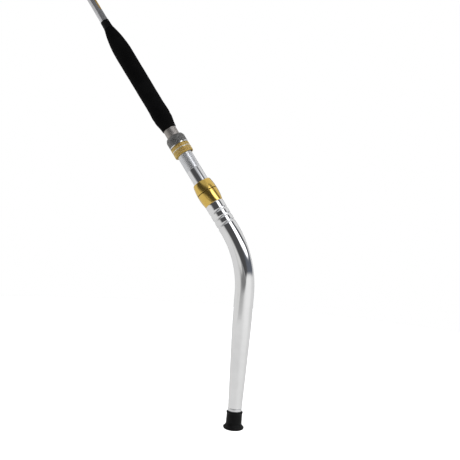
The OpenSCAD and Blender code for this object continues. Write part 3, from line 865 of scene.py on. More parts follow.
def make_seat():
    """The seat tube: plain and bright below, threaded above, with a keyway in its upper end."""
    stations, radii = outline("seat_tube")
    foot, top = stations[0], stations[-1]
    foot_r, seat_r = radii.max(), radii[-1]
    step = ends("lower_collar")[0] - GAP
    bore_r = bore_at("seat_tube", top)
    groove = THREAD_START - THREAD_RELIEF
    corners = [(bore_r - STEP_DEPTH, foot, 0), (foot_r, foot, 0.8 * MM), (foot_r, step, 0),
               (seat_r, step, 0), (seat_r, groove, 0.15 * MM),
               (seat_r - 0.4 * MM, groove + 0.3 * MM, 0.2 * MM),
               (seat_r - 0.4 * MM, THREAD_START - 0.3 * MM, 0.2 * MM), (seat_r, THREAD_START, 0)]
    plain = rounded(corners)
    thread_top = top - 1.2 * MM
    turns = math.ceil((thread_top - THREAD_START) / THREAD_PITCH) + 1
    valley_r = seat_r - THREAD_DEPTH
    thread = [(r, THREAD_START + THREAD_PITCH * (i - 1 + t)) for i in range(turns)
              for t, r in ((0, seat_r), (0.5 - THREAD_GROOVE, seat_r), (0.5, valley_r),
                           (0.5 + THREAD_GROOVE, seat_r))]
    thread.append((seat_r, THREAD_START + THREAD_PITCH * (turns - 1)))
    corners = [(seat_r, thread_top, 0), (seat_r - 0.7 * MM, top, 0.2 * MM), (bore_r, top, 0.3 * MM),
               (bore_r, BORE_FOOT, 0), (bore_r - STEP_DEPTH, BORE_FOOT, 0),
               (bore_r - STEP_DEPTH, foot, 0)]
    bored = rounded(corners)[:-1]

    rows = np.arange(len(plain) + len(thread) + len(bored))[:, None]
    in_thread = (rows >= len(plain)) & (rows < len(plain) + len(thread))

    def lead(radius, station, angle):
        moved = np.clip(station + THREAD_PITCH * angle / (2 * math.pi), THREAD_START, thread_top)
        return np.where(in_thread, moved, station + 0 * angle)

    def relief(radius, station, angle):
        fade = np.clip(np.minimum(station - THREAD_START, thread_top - station) / THREAD_PITCH, 0, 1)
        return np.where(in_thread, (radius - seat_r) * (1 - fade), 0)

    def mark(radius, station):
        return np.where((radius > bore_r + MM) & (station > groove + NEAR), 1.0, 0.0)

    inner = bore_r - MM
    outer = seat_r + MM
    keyway = [in_rod(np.array((-inner, -inner, -outer, -outer)),
                     np.array((-KEYWAY_HALF, KEYWAY_HALF, KEYWAY_HALF, -KEYWAY_HALF)), station)
              for station in (top - KEYWAY_LEN, top + MM)]
    piece("seat", "butt", "seat_aluminium",
          [turned(plain + thread + bored, relief=relief, mark=mark, lead=lead)],
          replaces=["seat_tube"], cuts=[loft(keyway, [top, top])])


KNURL_DEPTH = 0.5 * MM
KNURL_PITCH = 2.2 * MM
KNURL_ROUND = 72
BARE_EDGE = 0.8 * MM


def lip(crest_r, end, inward, flat_end):
    """Rounded lip of a knurled ring, from its end's face to the knurling's valleys."""
    edge_r = crest_r - 0.25 * MM
    return [(radius, end + inward * depth) for radius, depth in (
        (crest_r - 1.2 * MM, 0), (edge_r - 0.3 * MM, 0.35 * MM), (edge_r, 0.9 * MM),
        (edge_r, flat_end), (crest_r - KNURL_DEPTH, flat_end + 0.3 * MM))]


def make_hood_and_lock_nut():
    """The sliding hood, its washer and the lock nut behind it."""
    low, high = ends("sliding_hood")
    crest_r, bore_r = outline("sliding_hood")[1].max(), bore("sliding_hood")
    floor = low + HOOD_POCKET_DEPTH
    below = [(bore_r, low + 0.2 * MM), *lip(crest_r, low, 1, 1.5 * MM)]
    above = [*reversed(lip(crest_r, high, -1, 1.5 * MM)), (bore_r, high)]
    ring = knurled(below, above, crest_r, KNURL_DEPTH, KNURL_PITCH, KNURL_ROUND,
                   mark_plain=lambda radius, station: 2.0 if station > high - BARE_EDGE else 0.0)
    pocket = [(0, low - MM, 0), (HOOD_POCKET_R, low - MM, 0), (HOOD_POCKET_R, floor, 0.5 * MM),
              (0, floor, 0)]
    cutter = turned(rounded(pocket), shift=lambda radius, station: POCKET_SHIFT + 0 * radius)
    piece("hood", "hood", "gold_knurled", [ring], replaces=["sliding_hood"], cuts=[cutter],
          smooth_angle=24)
    low, high = ends("hood_washer")
    washer_r = outline("hood_washer")[1].max()
    washer = [(bore_r, low, 0), (washer_r, low, 0.25 * MM), (washer_r, high, 0.25 * MM),
              (bore_r, high, 0)]
    piece("hood_shim", "hood", "washer_steel", [turned(rounded(washer))], replaces=["hood_washer"])
    low, high = ends("lock_nut")
    below = [(bore_r, low), *lip(crest_r, low, 1, 1.3 * MM)]
    above = [*reversed(lip(crest_r, high, -1, 1.6 * MM)), (bore_r + 1.2 * MM, high),
             (bore_r, high - 0.8 * MM)]
    ring = knurled(below, above, crest_r, KNURL_DEPTH, KNURL_PITCH, KNURL_ROUND,
                   mark_plain=lambda radius, station: 2.0 if station < low + BARE_EDGE else 0.0)
    piece("lock_ring", "lock_nut", "gold_knurled", [ring], replaces=["lock_nut"], smooth_angle=24)


NUT_BRIGHT_LEN = 2.4 * MM


def make_coupling_nut():
    """The coupling nut: bright turned foot, knurled middle and chamfered, knurled shoulder."""
    stations, radii = outline("coupling_nut")
    low, high = stations[0], stations[-1]
    crest_r, top_r = radii.max(), radii[-1]
    shoulder = stations[(radii > crest_r - NEAR)][-1]
    mouth_r, throat_r = bore_at("coupling_nut", low), bore("coupling_nut")
    cavity = shape("coupling_nut")[:, 2]
    cavity = cavity[(cavity > low + 10 * MM) & (cavity < shoulder)].max()
    valley_r = crest_r - KNURL_DEPTH
    below = [(mouth_r, low + 0.8 * MM), (mouth_r + 0.8 * MM, low), (crest_r - 0.7 * MM, low),
             (crest_r - 0.15 * MM, low + 0.4 * MM), (crest_r - 0.1 * MM, low + NUT_BRIGHT_LEN),
             (crest_r - 0.8 * MM, low + NUT_BRIGHT_LEN + 0.2 * MM),
             (crest_r - 0.8 * MM, low + NUT_BRIGHT_LEN + 0.6 * MM),
             (valley_r, low + NUT_BRIGHT_LEN + 0.9 * MM)]
    above = [(valley_r, shoulder - 0.4 * MM), (crest_r - 0.25 * MM, shoulder),
             (top_r + 0.3 * MM, high - 0.5 * MM), (top_r - 0.5 * MM, high),
             (throat_r + 0.5 * MM, high), (throat_r, high - 0.5 * MM), (throat_r, cavity),
             (mouth_r, cavity)]

    def bright(radius, station):
        return 2.0 if station < low + NUT_BRIGHT_LEN + NEAR else 0.35

    ring = knurled(below, above, crest_r, KNURL_DEPTH, KNURL_PITCH, KNURL_ROUND, mark_plain=bright)
    piece("coupling_ring", "coupling", "gunmetal_knurled", [ring], replaces=["coupling_nut"],
          smooth_angle=24)


# ---- rod ----

def make_ferrule():
    """The ferrule: keyed plug, collar and satin stem with a turned ring at its foot."""
    stations, radii = outline("ferrule")
    foot, top = stations[0], stations[-1]
    collar_r, stem_r = radii.max(), radii[-1]
    collar = stations[radii > collar_r - NEAR]
    plug_r = radii[1:][stations[1:] < collar[0] - NEAR].max()
    socket_r = bore_at("ferrule", top)
    inner_r = bore("ferrule")
    socket_foot = ends("blank")[0] - GAP
    corners = [(inner_r, foot, 0), (plug_r, foot, 0.8 * MM), (plug_r, collar[0], 0),
               (collar_r, collar[0], 0.3 * MM), (collar_r, collar[-1], 0.3 * MM),
               (stem_r, collar[-1], 0), (stem_r, top, 0.3 * MM),
               (socket_r, top, 0), (socket_r, socket_foot, 0), (inner_r, socket_foot, 0)]
    key_points = shape("ferrule_key")
    low, high = ends("ferrule_key")
    half = key_points[:, 1].max() + GAP
    deep = -key_points[:, 0].max() - GAP
    cutter = [in_rod(np.array((-deep, -deep, -plug_r - MM, -plug_r - MM)),
                     np.array((-half, half, half, -half)), station)
              for station in (low - GAP, high)]
    piece("ferrule_body", "rod", "satin_ferrule", [turned(refined(rounded(corners), 6 * MM))],
          replaces=["ferrule"], cuts=[loft(cutter, [low, high])])


GRIP_RING = 2.5 * MM
GRIP_SOFT = 3
GRIP_WAVE = 0.09 * MM


def make_grip():
    """The foam foregrip, shaped like its CAD solid, with a hand-sanded unevenness."""
    stations, radii = outline("foregrip")
    low, high = stations[0], stations[-1]
    stem_r = bore_at("foregrip", low)
    neck_r = blank_at(high) + GAP
    stem_top = ends("ferrule")[1] + GAP
    count = round((high - low) / GRIP_RING)
    rows = np.linspace(low, high, count + 1)
    smooth = np.interp(rows, stations, radii)
    for _ in range(GRIP_SOFT):
        smooth[1:-1] = (smooth[:-2] + 2 * smooth[1:-1] + smooth[2:]) / 4
    corners = [(stem_r, low, 0), (smooth[0] - 0.4 * MM, low, 0.8 * MM)]
    corners += [(r, s, 0) for r, s in zip(smooth[1:-1], rows[1:-1])]
    corners += [(smooth[-1] - 0.3 * MM, high, 0.5 * MM), (neck_r, high, 0),
                (blank_at(stem_top) + GAP, stem_top, 0), (stem_r, stem_top, 0)]

    def relief(radius, station, angle):
        outside = radius > np.interp(station, rows, smooth) - MM
        wave = (np.sin(3 * angle + 31 * station) * np.sin(47 * station + 1.3)
                + 0.6 * np.sin(5 * angle - 83 * station + 0.7)
                + 0.5 * np.sin(9 * angle + 190 * station))
        ends_in = np.clip(np.minimum(station - low, high - station) / (12 * MM), 0, 1)
        return np.where(outside, -GRIP_WAVE * wave * ends_in, 0)

    grip = piece("foam_grip", "rod", "eva_foam",
                 [turned(rounded(corners), segments=112, relief=relief)], replaces=["foregrip"])


def make_check():
    """The black winding check, a sleeve with two fine beads at its upper end."""
    stations, radii = outline("winding_check")
    low, high = stations[0], stations[-1]
    low_r, high_r = radii[0], radii[-1]
    corners = [(blank_at(low) + GAP, low, 0), (low_r, low, 0.4 * MM),
               (low_r, low + 1.6 * MM, 0.3 * MM), (low_r - 0.35 * MM, low + 2 * MM, 0.2 * MM),
               (high_r - 0.1 * MM, high - 2.4 * MM, 0.2 * MM), (high_r, high - 2 * MM, 0.3 * MM),
               (high_r, high, 0.4 * MM), (blank_at(high) + GAP, high, 0)]
    piece("check_sleeve", "rod", "cap_rubber", [turned(rounded(corners))],
          replaces=["winding_check"])


STRIPE_START = 27.9 * MM
STRIPE_END = 126 * MM
STRIPE_HALF = 4.2 * MM
STRIPE_T = 0.09 * MM


def make_blank():
    """The lacquered blank, with a plain gold band on its reel side above the grip."""
    stations, radii = outline("blank")
    low, high = stations[0], stations[-1]
    inner_low = bore_at("blank", low)
    inner_high = bore_at("blank", high)
    corners = [(inner_low, low, 0), (radii[0], low, 0.3 * MM), (radii[-1], high, 0.2 * MM),
               (inner_high, high, 0)]
    piece("rod_blank", "rod", "blank_gloss", [turned(refined(rounded(corners), 20 * MM))],
          replaces=["blank"])
    start = ends("winding_check")[1] + STRIPE_START
    rows = []
    for t in np.linspace(0, 1, 33):
        station = start + (STRIPE_END - STRIPE_START) * t
        tip = min(1.0, 14 * min(t, 1 - t) + 0.5)
        radius = blank_at(station)
        rows.append((radius - 0.1 * MM, radius + STRIPE_T, station, tip))
    piece("label_stripe", "rod", None, [strip(rows, STRIPE_HALF)], material=LABEL_FOIL)


# ---- roller guides ----

PLATE_T = 1.8 * MM
BRIDGE_T = 2.4 * MM
FOOT_T = 1.5 * MM
FOOT_HALF = 3.4 * MM
WRAP_END = 0.35 * MM
AXLE_R = 1.8 * MM
HEAD_R = 3.4 * MM
HEAD_H = 1.2 * MM
BUSH_R = 2.9 * MM
BUSH_PLAY = 0.02 * MM
AXLE_PLAY = 0.05 * MM
WAIST = 1.3 * MM
ROLLER_PLAY = 0.3 * MM
ROLLER_R = 7 * MM
PLATE_BEVEL = 0.35 * MM
PLATE_SUNK = 0.6
BASE_HALF = 21 * MM
BRIDGE_HALF = 4.2 * MM
STRIPPER_SIZE = 1.15
STRIPPER_TOP_HALF = 5 * MM


def roller_place(node):
    """Height, station, radius and half width of a roller, from its CAD node."""
    points = shape(node)
    low, high = points.min(axis=0), points.max(axis=0)
    middle = (low + high) / 2
    return middle[0], middle[2], (high[0] - low[0]) / 2, (high[1] - low[1]) / 2


def make_roller(node, body, name):
    """A grooved roller, with rolled rims and a shallow recess in each face."""
    x, station, radius, half = roller_place(node)
    bore_r = BUSH_R + BUSH_PLAY
    corners = [(bore_r, -half, 0.2 * MM), (bore_r + 0.9 * MM, -half, 0.1 * MM),
               (bore_r + 1.2 * MM, 0.35 * MM - half, 0.1 * MM),
               (radius - 1.3 * MM, 0.35 * MM - half, 0.1 * MM),
               (radius - 1.0 * MM, -half, 0.1 * MM), (radius, -half, 0.5 * MM)]
    for t in np.linspace(-0.86, 0.86, 15):
        corners.append((radius - WAIST * (1 - t * t), t * half, 0))
    corners += [(r, -side, size) for r, side, size in reversed(corners[:6])]
    piece(name, body, "guide_roller", [turned(rounded(corners), place=across(x, station),
                                              segments=64)], replaces=[node])


def make_bush(node, body, name, roller_node):
    """A bronze bush with chamfered ends."""
    x, station, _, half = roller_place(roller_node)
    corners = [(AXLE_R + AXLE_PLAY, -half, 0.2 * MM), (BUSH_R, -half, 0.2 * MM),
               (BUSH_R, half, 0.2 * MM), (AXLE_R + AXLE_PLAY, half, 0.2 * MM)]
    piece(name, body, "guide_bush", [turned(rounded(corners), place=across(x, station),
                                            segments=48)], replaces=[node])


def axle_parts(x, station, half):
    """An axle with a domed head at each end, and the cutters of the heads' slots."""
    out = half + HEAD_H
    corners = [(0, -out, 0), (HEAD_R * 0.7, -out, 0), (HEAD_R, -out + 0.5 * HEAD_H, 0.5 * MM),
               (HEAD_R, -half, 0.15 * MM), (AXLE_R, -half, 0), (AXLE_R, half, 0),
               (HEAD_R, half, 0.15 * MM), (HEAD_R, out - 0.5 * HEAD_H, 0.5 * MM),
               (HEAD_R * 0.7, out, 0), (0, out, 0)]
    slots = []
    for sign in (-1, 1):
        box = [(x - 0.45 * MM, station - HEAD_R - MM), (x + 0.45 * MM, station - HEAD_R - MM),
               (x + 0.45 * MM, station + HEAD_R + MM), (x - 0.45 * MM, station + HEAD_R + MM)]
        sides = sorted((sign * (out - 0.6 * MM), sign * (out + MM)))
        slots.append(prism(box, *sides, bevel=0.01 * MM))
    return turned(rounded(corners), place=across(x, station), segments=48), slots


def foot_parts(station, half, foot_half):
    """The two feet that run out under the wraps, thinned towards their ends."""
    parts = []
    for sign in (-1, 1):
        rows = []
        for t in np.linspace(0, 1, 9):
            s = station + sign * (half * 0.8 + (foot_half - half * 0.8) * t)
            thick = FOOT_T * (1 - 0.75 * max(0.0, (t - 0.45) / 0.55) ** 1.5)
            radius = blank_at(s)
            rows.append((radius - 0.3 * MM, radius + thick, s, 1 - 0.45 * max(0, t - 0.6) / 0.4))
        parts.append(strip(rows, FOOT_HALF))
    return parts


def frame_parts(station, inner_half, base_x, top_x, base_half, top_half, power, foot_half):
    """Side plates with hollow flanks, the saddle between them and the feet."""
    right = []
    for t in np.linspace(0, 1, 15):
        right.append((base_x + (top_x - base_x) * t,
                      top_half + (base_half - top_half) * (1 - t) ** power))
    corners = [(x, station + half, 1.6 * MM if i in (0, 14) else 0)
               for i, (x, half) in enumerate(right)]
    corners += [(x, station - half, 1.6 * MM if i in (0, 14) else 0)
                for i, (x, half) in reversed(list(enumerate(right)))]
    plate = rounded(corners)
    parts = [prism(plate, inner_half, inner_half + PLATE_T, PLATE_BEVEL),
             prism(plate, -inner_half - PLATE_T, -inner_half, PLATE_BEVEL)]
    depth = blank_at(station) + FOOT_T + 0.5 * MM
    saddle = rounded([(depth * 0.5, station - base_half, 0), (depth, station - base_half, 0.7 * MM),
                      (depth, station + base_half, 0.7 * MM), (depth * 0.5, station + base_half, 0)])
    parts.append(prism(saddle, -inner_half - 0.3 * MM, inner_half + 0.3 * MM, 0.05 * MM))
    return parts + foot_parts(station, base_half, foot_half)


def bridge_part(station, top_x, half, inner_half):
    """The bar that joins the plates' tops."""
    bar = rounded([(top_x - BRIDGE_T, station - half, 0.7 * MM), (top_x, station - half, 0.7 * MM),
                   (top_x, station + half, 0.7 * MM), (top_x - BRIDGE_T, station + half, 0.7 * MM)])
    return prism(bar, -inner_half - 0.5 * MM, inner_half + 0.5 * MM, 0.05 * MM)


def wrap_part(start, end, full_r):
    """One thread wrap. It is full at start, beside the frame, and thin at its end."""
    length = end - start
    full = full_r - blank_at(start)
    rows = []
    for t in np.linspace(0, 1, 25):
        fade = min(1.0, (1 - t) / 0.28)
        swell = WRAP_END + (full - WRAP_END) * (fade * fade * (3 - 2 * fade))
        shoulder = 0.5 * MM * max(0.0, 1 - t / 0.06) ** 2
        rows.append((blank_at(start + length * t) + swell - shoulder, start + length * t))
    rows.append((blank_at(end) + 0.02 * MM, end))
    rows.append((blank_at(start) + 0.02 * MM, start))
    low, high = start + length * 0.74, start + length * 0.86
    low, high = min(low, high), max(low, high)
    return turned(rows, segments=64,
                  mark=lambda radius, station: ((station > low) & (station < high)) * 1.0)


def make_wraps(node, name, station):
    """The wraps at both ends of a guide's frame."""
    stations = np.unique(np.round(shape(node)[:, 2], 5))
    above, below = stations[stations > station], stations[stations < station]
    full_r = outline(node)[1].max()
    parts = [wrap_part(above[0], above[-1], full_r), wrap_part(below[-1], below[0], full_r)]
    piece(name, "rod", "thread_wrap", parts, replaces=[node])


def make_guide(number):
    """One single-roller guide: frame, axle, wraps, roller and bush."""
    name = f"guide_{number}"
    x, station, radius, half = roller_place(f"{name}_roller")
    frame_points = shape(f"{name}_frame")
    inner_half = half + ROLLER_PLAY
    size = radius / ROLLER_R
    top_x = frame_points[:, 0].max()
    parts = frame_parts(station, inner_half, blank_at(station) * PLATE_SUNK, top_x,
                        BASE_HALF * size, BRIDGE_HALF * size, 2.1, np.ptp(frame_points[:, 2]) / 2)
    parts.append(bridge_part(station, top_x, BRIDGE_HALF * size, inner_half))
    piece(f"{name}_bracket", "rod", "guide_frame", parts, replaces=[f"{name}_frame"])
    axle, slots = axle_parts(x, station, inner_half + PLATE_T + GAP)
    piece(f"{name}_pin", "rod", "guide_axle", [axle], replaces=[f"{name}_axle"], cuts=slots)
    make_wraps(f"{name}_wraps", f"{name}_thread", station)
    make_roller(f"{name}_roller", f"roller_{number}", f"{name}_sheave")
    make_bush(f"{name}_bush", f"roller_{number}", f"{name}_bearing", f"{name}_roller")


def make_stripper():
    """The stripper guide, whose two rollers hold the line between them."""
    low_x, station, _, half = roller_place("stripper_roller_low")
    high_x = roller_place("stripper_roller_high")[0]
    points = shape("stripper_frame")
    inner_half = half + ROLLER_PLAY
    parts = frame_parts(station, inner_half, blank_at(station) * PLATE_SUNK, points[:, 0].max(),
                        BASE_HALF * STRIPPER_SIZE, STRIPPER_TOP_HALF, 1.9,
                        np.ptp(points[:, 2]) / 2)
    piece("stripper_bracket", "rod", "guide_frame", parts, replaces=["stripper_frame"])
    axles, slots = [], []
    for x in (low_x, high_x):
        axle, cut = axle_parts(x, station, inner_half + PLATE_T + GAP)
        axles.append(axle)
        slots += cut
    piece("stripper_pins", "rod", "guide_axle", axles, replaces=["stripper_axles"], cuts=slots)
    make_wraps("stripper_wraps", "stripper_thread", station)
    for level in ("low", "high"):
        make_roller(f"stripper_roller_{level}", f"stripper_{level}", f"stripper_sheave_{level}")
        make_bush(f"stripper_bush_{level}", f"stripper_{level}", f"stripper_bearing_{level}",
                  f"stripper_roller_{level}")


def make_tip():
    """The roller tip on the blank's end."""
    x, station, _, half = roller_place("tip_roller")
    inner_half = half + ROLLER_PLAY
    points = shape("tip_frame")
    low, top_x = points[:, 2].min(), points[:, 0].max()
    blank_top = ends("blank")[1]
    tube_r = blank_at(low) + 1.2 * MM
    over = blank_top + 1.5 * MM
    tube = [(blank_at(low) + GAP, low, 0), (tube_r, low, 0.5 * MM), (tube_r, over, 0.6 * MM),
            (0, over, 0), (0, blank_top + GAP, 0), (blank_at(blank_top) + GAP, blank_top + GAP, 0)]
    cheek_foot, cheek_half, back_r, bridge_half = blank_top - 6 * MM, 4.5 * MM, 5.9 * MM, 3.6 * MM
    cheek = rounded([(-cheek_half, cheek_foot, 0.8 * MM), (cheek_half, cheek_foot, 0.8 * MM),
                     (cheek_half, over, 0.5 * MM), (-cheek_half, over, 0.5 * MM)])
    outline_points = [(-cheek_half, cheek_foot, 1 * MM)]
    for t in np.linspace(0, math.pi / 2, 9):
        outline_points.append((back_r - cheek_half - back_r * math.cos(t),
                               station + MM + back_r * math.sin(t), 0))
    outline_points += [(top_x, station + bridge_half, 1 * MM), (top_x, station - bridge_half, 1 * MM),
                       (cheek_half, cheek_foot, 1 * MM)]
    plate = rounded(outline_points)
    parts = [turned(rounded(tube), segments=64), prism(cheek, -inner_half - 0.3 * MM,
                                                       inner_half + 0.3 * MM, 0.05 * MM),
             prism(plate, inner_half, inner_half + PLATE_T, PLATE_BEVEL),
             prism(plate, -inner_half - PLATE_T, -inner_half, PLATE_BEVEL),
             bridge_part(station, top_x, bridge_half, inner_half)]
    piece("tip_bracket", "rod", "guide_frame", parts, replaces=["tip_frame"])
    axle, slots = axle_parts(x, station, inner_half + PLATE_T + GAP)
    piece("tip_pin", "rod", "guide_axle", [axle], replaces=["tip_axle"], cuts=slots)
    stations = outline("tip_wrap")[0]
    start, end = stations[-1], stations[0]
    rows = []
    for t in np.linspace(0, 1, 13):
        s = start + (end - start) * t
        rows.append((blank_at(s) + MM * (1.15 - 0.85 * t * t), s))
    rows += [(blank_at(end) + 0.02 * MM, end), (blank_at(start) + 0.02 * MM, start)]
    piece("tip_thread", "rod", "thread_wrap",
          [turned(rows, segments=64,
                  mark=lambda radius, s: (np.abs(s - (start + end) / 2) < 1.2 * MM) * 1.0)],
          replaces=["tip_wrap"])
    make_roller("tip_roller", "tip_sheave", "tip_wheel")
    make_bush("tip_bush", "tip_sheave", "tip_bearing", "tip_roller")


make_butt()
make_nock()
make_cap()
make_barrel()
make_seat()
make_hood_and_lock_nut()
make_coupling_nut()
make_ferrule()
make_grip()
make_check()
make_blank()
make_stripper()
for guide in range(1, 5):
    make_guide(guide)
make_tip()
for kept in ("ferrule_key", "thrust_washer"):
    node_mesh = frame["nodes"][kept].data
    node_mesh.materials.clear()
    node_mesh.materials.append(MATERIALS["washer_steel"])


# ---- surroundings ----

FLOOR_R = 2.0
FLOOR_GAP = 10 * MM
CAP_TRAVEL = max(JOINTS["cap_slide"]["range_m"])
HORIZON = ((-180, -9), (-20, -9), (10, -8.5), (20, -7.5), (30, -5.5), (40, -2), (50, 3), (60, 5.2),
           (80, 6.6), (100, 6.6), (120, 5.4), (140, 3), (160, 1), (180, -4))
SHADE_FOOT = ((-180, -1), (-20, 0), (0, 3), (20, 4), (30, 3.5), (40, 1.5), (50, 3), (60, 5.2), (80, 6.6),
              (100, 6.6), (120, 5.4), (140, 3), (180, 0))
SHADE_TOP = ((-180, 34), (0, 36), (20, 42), (35, 43), (47, 36), (60, 28), (70, 26.5), (80, 23.5),
             (90, 21.5), (100, 20), (120, 18.5), (140, 17), (180, 14))
STREAK_FOOT = ((-180, -14), (-60, -14), (-30, -9), (-10, -4.5), (0, -2.5), (10, 0), (180, 0))
STREAK_TOP = ((-180, -8), (-60, -8), (-30, -5.5), (-10, 0.5), (0, 2.5), (10, 4), (180, 4))
LAMP_FOOT = ((-180, 37), (40, 37.5), (50, 34.5), (60, 31), (70, 28.5), (80, 26.5), (90, 23.5),
             (100, 21), (120, 19.5), (180, 19.5))
LAMP_TOP = ((-180, 38), (40, 40), (50, 48), (60, 52.5), (70, 53), (80, 50), (90, 43.5),
            (100, 35), (110, 29.5), (120, 27), (180, 27))
DUSK_FOOT = ((-180, 46), (90, 46), (100, 37), (110, 32), (120, 29), (130, 17), (140, 15), (180, 14))
DUSK_TOP = ((-180, 60), (90, 60), (110, 58), (120, 48), (130, 36), (140, 26), (150, 20), (180, 16))


class Sky(Nodes):
    """World with a white background, whose reflections are soft-edged zones of a plain studio.

    Directions are an azimuth and a height in degrees. A zone lies between two edges, each a height
    or a curve of heights over azimuth, and between two azimuths.
    """

    def __init__(self, colour):
        self.world = bpy.data.worlds.new("studio")
        self.world.use_nodes = True
        super().__init__(self.world.node_tree)
        self.tree.nodes.clear()
        axes = self.tree.nodes.new("ShaderNodeSeparateXYZ")
        self.tree.links.new(self.node("TexCoord", output="Generated"), axes.inputs[0])
        minus_y = self.math("MULTIPLY", axes.outputs["Y"], -1.0)
        turn = self.math("ARCTAN2", axes.outputs["X"], minus_y)
        self.azimuth = self.math("MULTIPLY", turn, 180 / math.pi)
        self.height = self.math("MULTIPLY", self.math("ARCSINE", axes.outputs["Z"]), 180 / math.pi)
        self.share = self.math("ADD", self.math("DIVIDE", self.azimuth, 360.0), 0.5)
        self.colour = colour

    def edge(self, heights):
        """Height over azimuth: one number, or a smooth curve through points."""
        if isinstance(heights, (int, float)):
            return float(heights)
        made = self.tree.nodes.new("ShaderNodeFloatCurve")
        points = made.mapping.curves[0].points
        places = [(azimuth / 360 + 0.5, height / 180 + 0.5) for azimuth, height in heights]
        points[0].location, points[1].location = places[0], places[-1]
        for place in places[1:-1]:
            points.new(*place)
        made.mapping.update()
        self.tree.links.new(self.share, made.inputs["Value"])
        return self.math("MULTIPLY", self.math("SUBTRACT", made.outputs[0], 0.5), 180.0)

    def step(self, distance, soft):
        """0 below zero and 1 above it, smooth over the soft width."""
        return self.node("MapRange", {"Value": distance, "From Min": -soft / 2,
                                      "From Max": soft / 2}, interpolation_type="SMOOTHSTEP")

    def zone(self, colour, foot, top, azimuths=None, soft=(4, 4, 16)):
        """Paints a zone. Soft widths are at its foot, its top and its sides."""
        share = self.math("MULTIPLY",
                          self.step(self.math("SUBTRACT", self.height, self.edge(foot)), soft[0]),
                          self.step(self.math("SUBTRACT", self.edge(top), self.height), soft[1]))
        if azimuths:
            for sign, azimuth in zip((1, -1), azimuths):
                inside = self.math("MULTIPLY", self.math("SUBTRACT", self.azimuth, azimuth), sign)
                share = self.math("MULTIPLY", share, self.step(inside, soft[2]))
        self.colour = self.blend(share, self.colour, colour)

    def finish(self):
        """Shows the camera plain white, and everything else the zones."""
        seen = self.blend(self.node("LightPath", output="Is Camera Ray"), self.colour, (1, 1, 1))
        background = self.node("Background", {"Color": seen, "Strength": 1.0})
        out = self.tree.nodes.new("ShaderNodeOutputWorld")
        self.tree.links.new(background, out.inputs["Surface"])
        bpy.context.scene.world = self.world


def make_sky():
    """A pale sweep below, a dark room behind the camera, and a large soft lamp on the right."""
    sky = Sky((0.7, 0.7, 0.7))
    sky.zone((0.5, 0.51, 0.53), 26, 89, (-60, 56), soft=(6, 2, 18))
    sky.zone((1.0, 1.0, 0.99), 2, 44, (171, 181), soft=(10, 10, 10))
    sky.zone((0.08, 0.083, 0.09), DUSK_FOOT, DUSK_TOP, (92, 150), soft=(5, 7, 14))
    sky.zone((0.24, 0.24, 0.25), 50.5, 62, (62, 93), soft=(3, 3, 10))
    sky.zone((2.6, 2.63, 2.7), LAMP_FOOT, LAMP_TOP, (48, 114), soft=(10, 10, 14))
    sky.zone((0.07, 0.07, 0.072), SHADE_FOOT, SHADE_TOP, (-60, 147), soft=(5, 10, 30))
    sky.zone((0.115, 0.126, 0.15), SHADE_FOOT, SHADE_TOP, (66, 149), soft=(5, 8, 26))
    sky.zone((0.21, 0.21, 0.21), -90, SHADE_FOOT, (-60, 48), soft=(2, 7, 20))
    sky.zone((0.68, 0.68, 0.67), STREAK_FOOT, STREAK_TOP, (-80, 6), soft=(3, 3, 12))
    sky.zone((0.05, 0.05, 0.055), -6, 34, (-168, -118), soft=(5, 10, 12))
    sky.zone((1.2, 1.2, 1.22), 30, 46, (-112, -84), soft=(5, 5, 12))
    sky.zone((0.69, 0.69, 0.69), -90, HORIZON, soft=(2, 7, 0))
    sky.zone((0.75, 0.75, 0.75), -90, HORIZON, (36, 112), soft=(2, 7, 50))
    sky.zone((0.845, 0.845, 0.845), -13, HORIZON, (42, 106), soft=(10, 7, 40))
    for azimuths in ((181, 400), (-400, -137)):
        sky.zone((0.16, 0.163, 0.17), -60, 32, azimuths, soft=(20, 14, 12))
    sky.finish()


def add_stage(name, mesh, hidden, base, radiance, roughness=0.5):
    """Adds an evenly glowing surface of the studio, which some kinds of ray don't meet."""
    material = bpy.data.materials.new(name)
    material.use_nodes = True
    shader = material.node_tree.nodes["Principled BSDF"]
    for socket, value in (("Base Color", (base, base, base, 1)), ("Roughness", roughness),
                          ("Specular IOR Level", 0.0), ("Emission Color", (1, 1, 1, 1)),
                          ("Emission Strength", radiance)):
        shader.inputs[socket].default_value = value
    mesh.materials.append(material)
    obj = bpy.data.objects.new(name, mesh)
    for ray in hidden:
        setattr(obj, "visible_" + ray, False)
    bpy.context.scene.collection.objects.link(obj)
    return obj


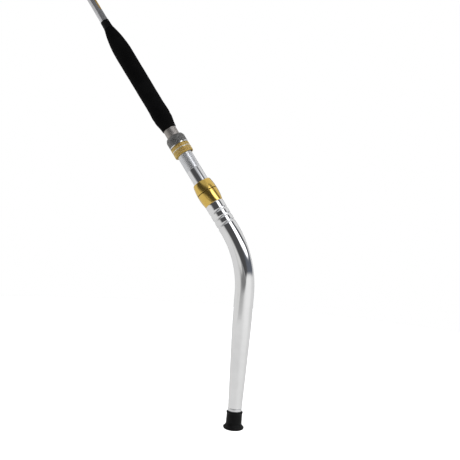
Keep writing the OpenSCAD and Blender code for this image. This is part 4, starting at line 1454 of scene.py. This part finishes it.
def make_floor():
    """A round white floor that only the camera sees, below the way that the cap slides off."""
    floor = bpy.data.meshes.new("floor")
    work = bmesh.new()
    bmesh.ops.create_circle(work, cap_ends=True, segments=96, radius=FLOOR_R)
    work.to_mesh(floor)
    work.free()
    obj = add_stage("floor", floor, ("diffuse", "glossy", "transmission", "shadow"),
                    base=0.8, radiance=0.8, roughness=0.9)
    obj.location = (0, 0, -CAP_TRAVEL - FLOOR_GAP)


CARD_STATION = 670 * MM
CARD_DISTANCE = 0.22
CARD_COLUMNS = 15
CARD_ROWS = 9


def make_card(name, azimuths, heights, radiance):
    """A curved card beside the blank, which only its mirror shows, given as directions from it."""
    centre = in_rod(np.zeros(1), 0, CARD_STATION)[0]
    columns = np.radians(np.linspace(*azimuths, CARD_COLUMNS))
    rows = np.radians(np.linspace(*heights, CARD_ROWS))
    points = [centre + CARD_DISTANCE * np.array((math.sin(a) * math.cos(h),
                                                 -math.cos(a) * math.cos(h), math.sin(h)))
              for h in rows for a in columns]
    corners = [i * CARD_COLUMNS + j for i in range(CARD_ROWS - 1) for j in range(CARD_COLUMNS - 1)]
    faces = [(v, v + 1, v + CARD_COLUMNS + 1, v + CARD_COLUMNS) for v in corners]
    mesh = bpy.data.meshes.new(name)
    mesh.from_pydata(points, [], faces)
    add_stage(name, mesh, ("camera", "diffuse", "transmission", "shadow"),
              base=0.01, radiance=radiance)


def make_light(name, place, target, size, power):
    """A soft square light that shapes the dark pieces, and that mirrors don't show."""
    lamp = bpy.data.lights.new(name, "AREA")
    lamp.size = size
    lamp.energy = power
    obj = bpy.data.objects.new(name, lamp)
    obj.location = place
    direction = Vector(target) - Vector(place)
    obj.rotation_mode = "QUATERNION"
    obj.rotation_quaternion = direction.to_track_quat("-Z", "Y")
    obj.visible_glossy = False
    bpy.context.scene.collection.objects.link(obj)


make_sky()
make_floor()
make_card("card_light", (-90, -22), (-16, 13), 0.55)
make_card("card_dark", (-20, 125), (17, 78), 0.085)
make_card("card_side", (125, 188), (-8, 78), 0.14)
make_light("key", place=(1.6, -1.2, 2.6), target=(-0.2, 0, 0.6), size=1.6, power=20)
bpy.context.scene.view_settings.view_transform = "Standard"
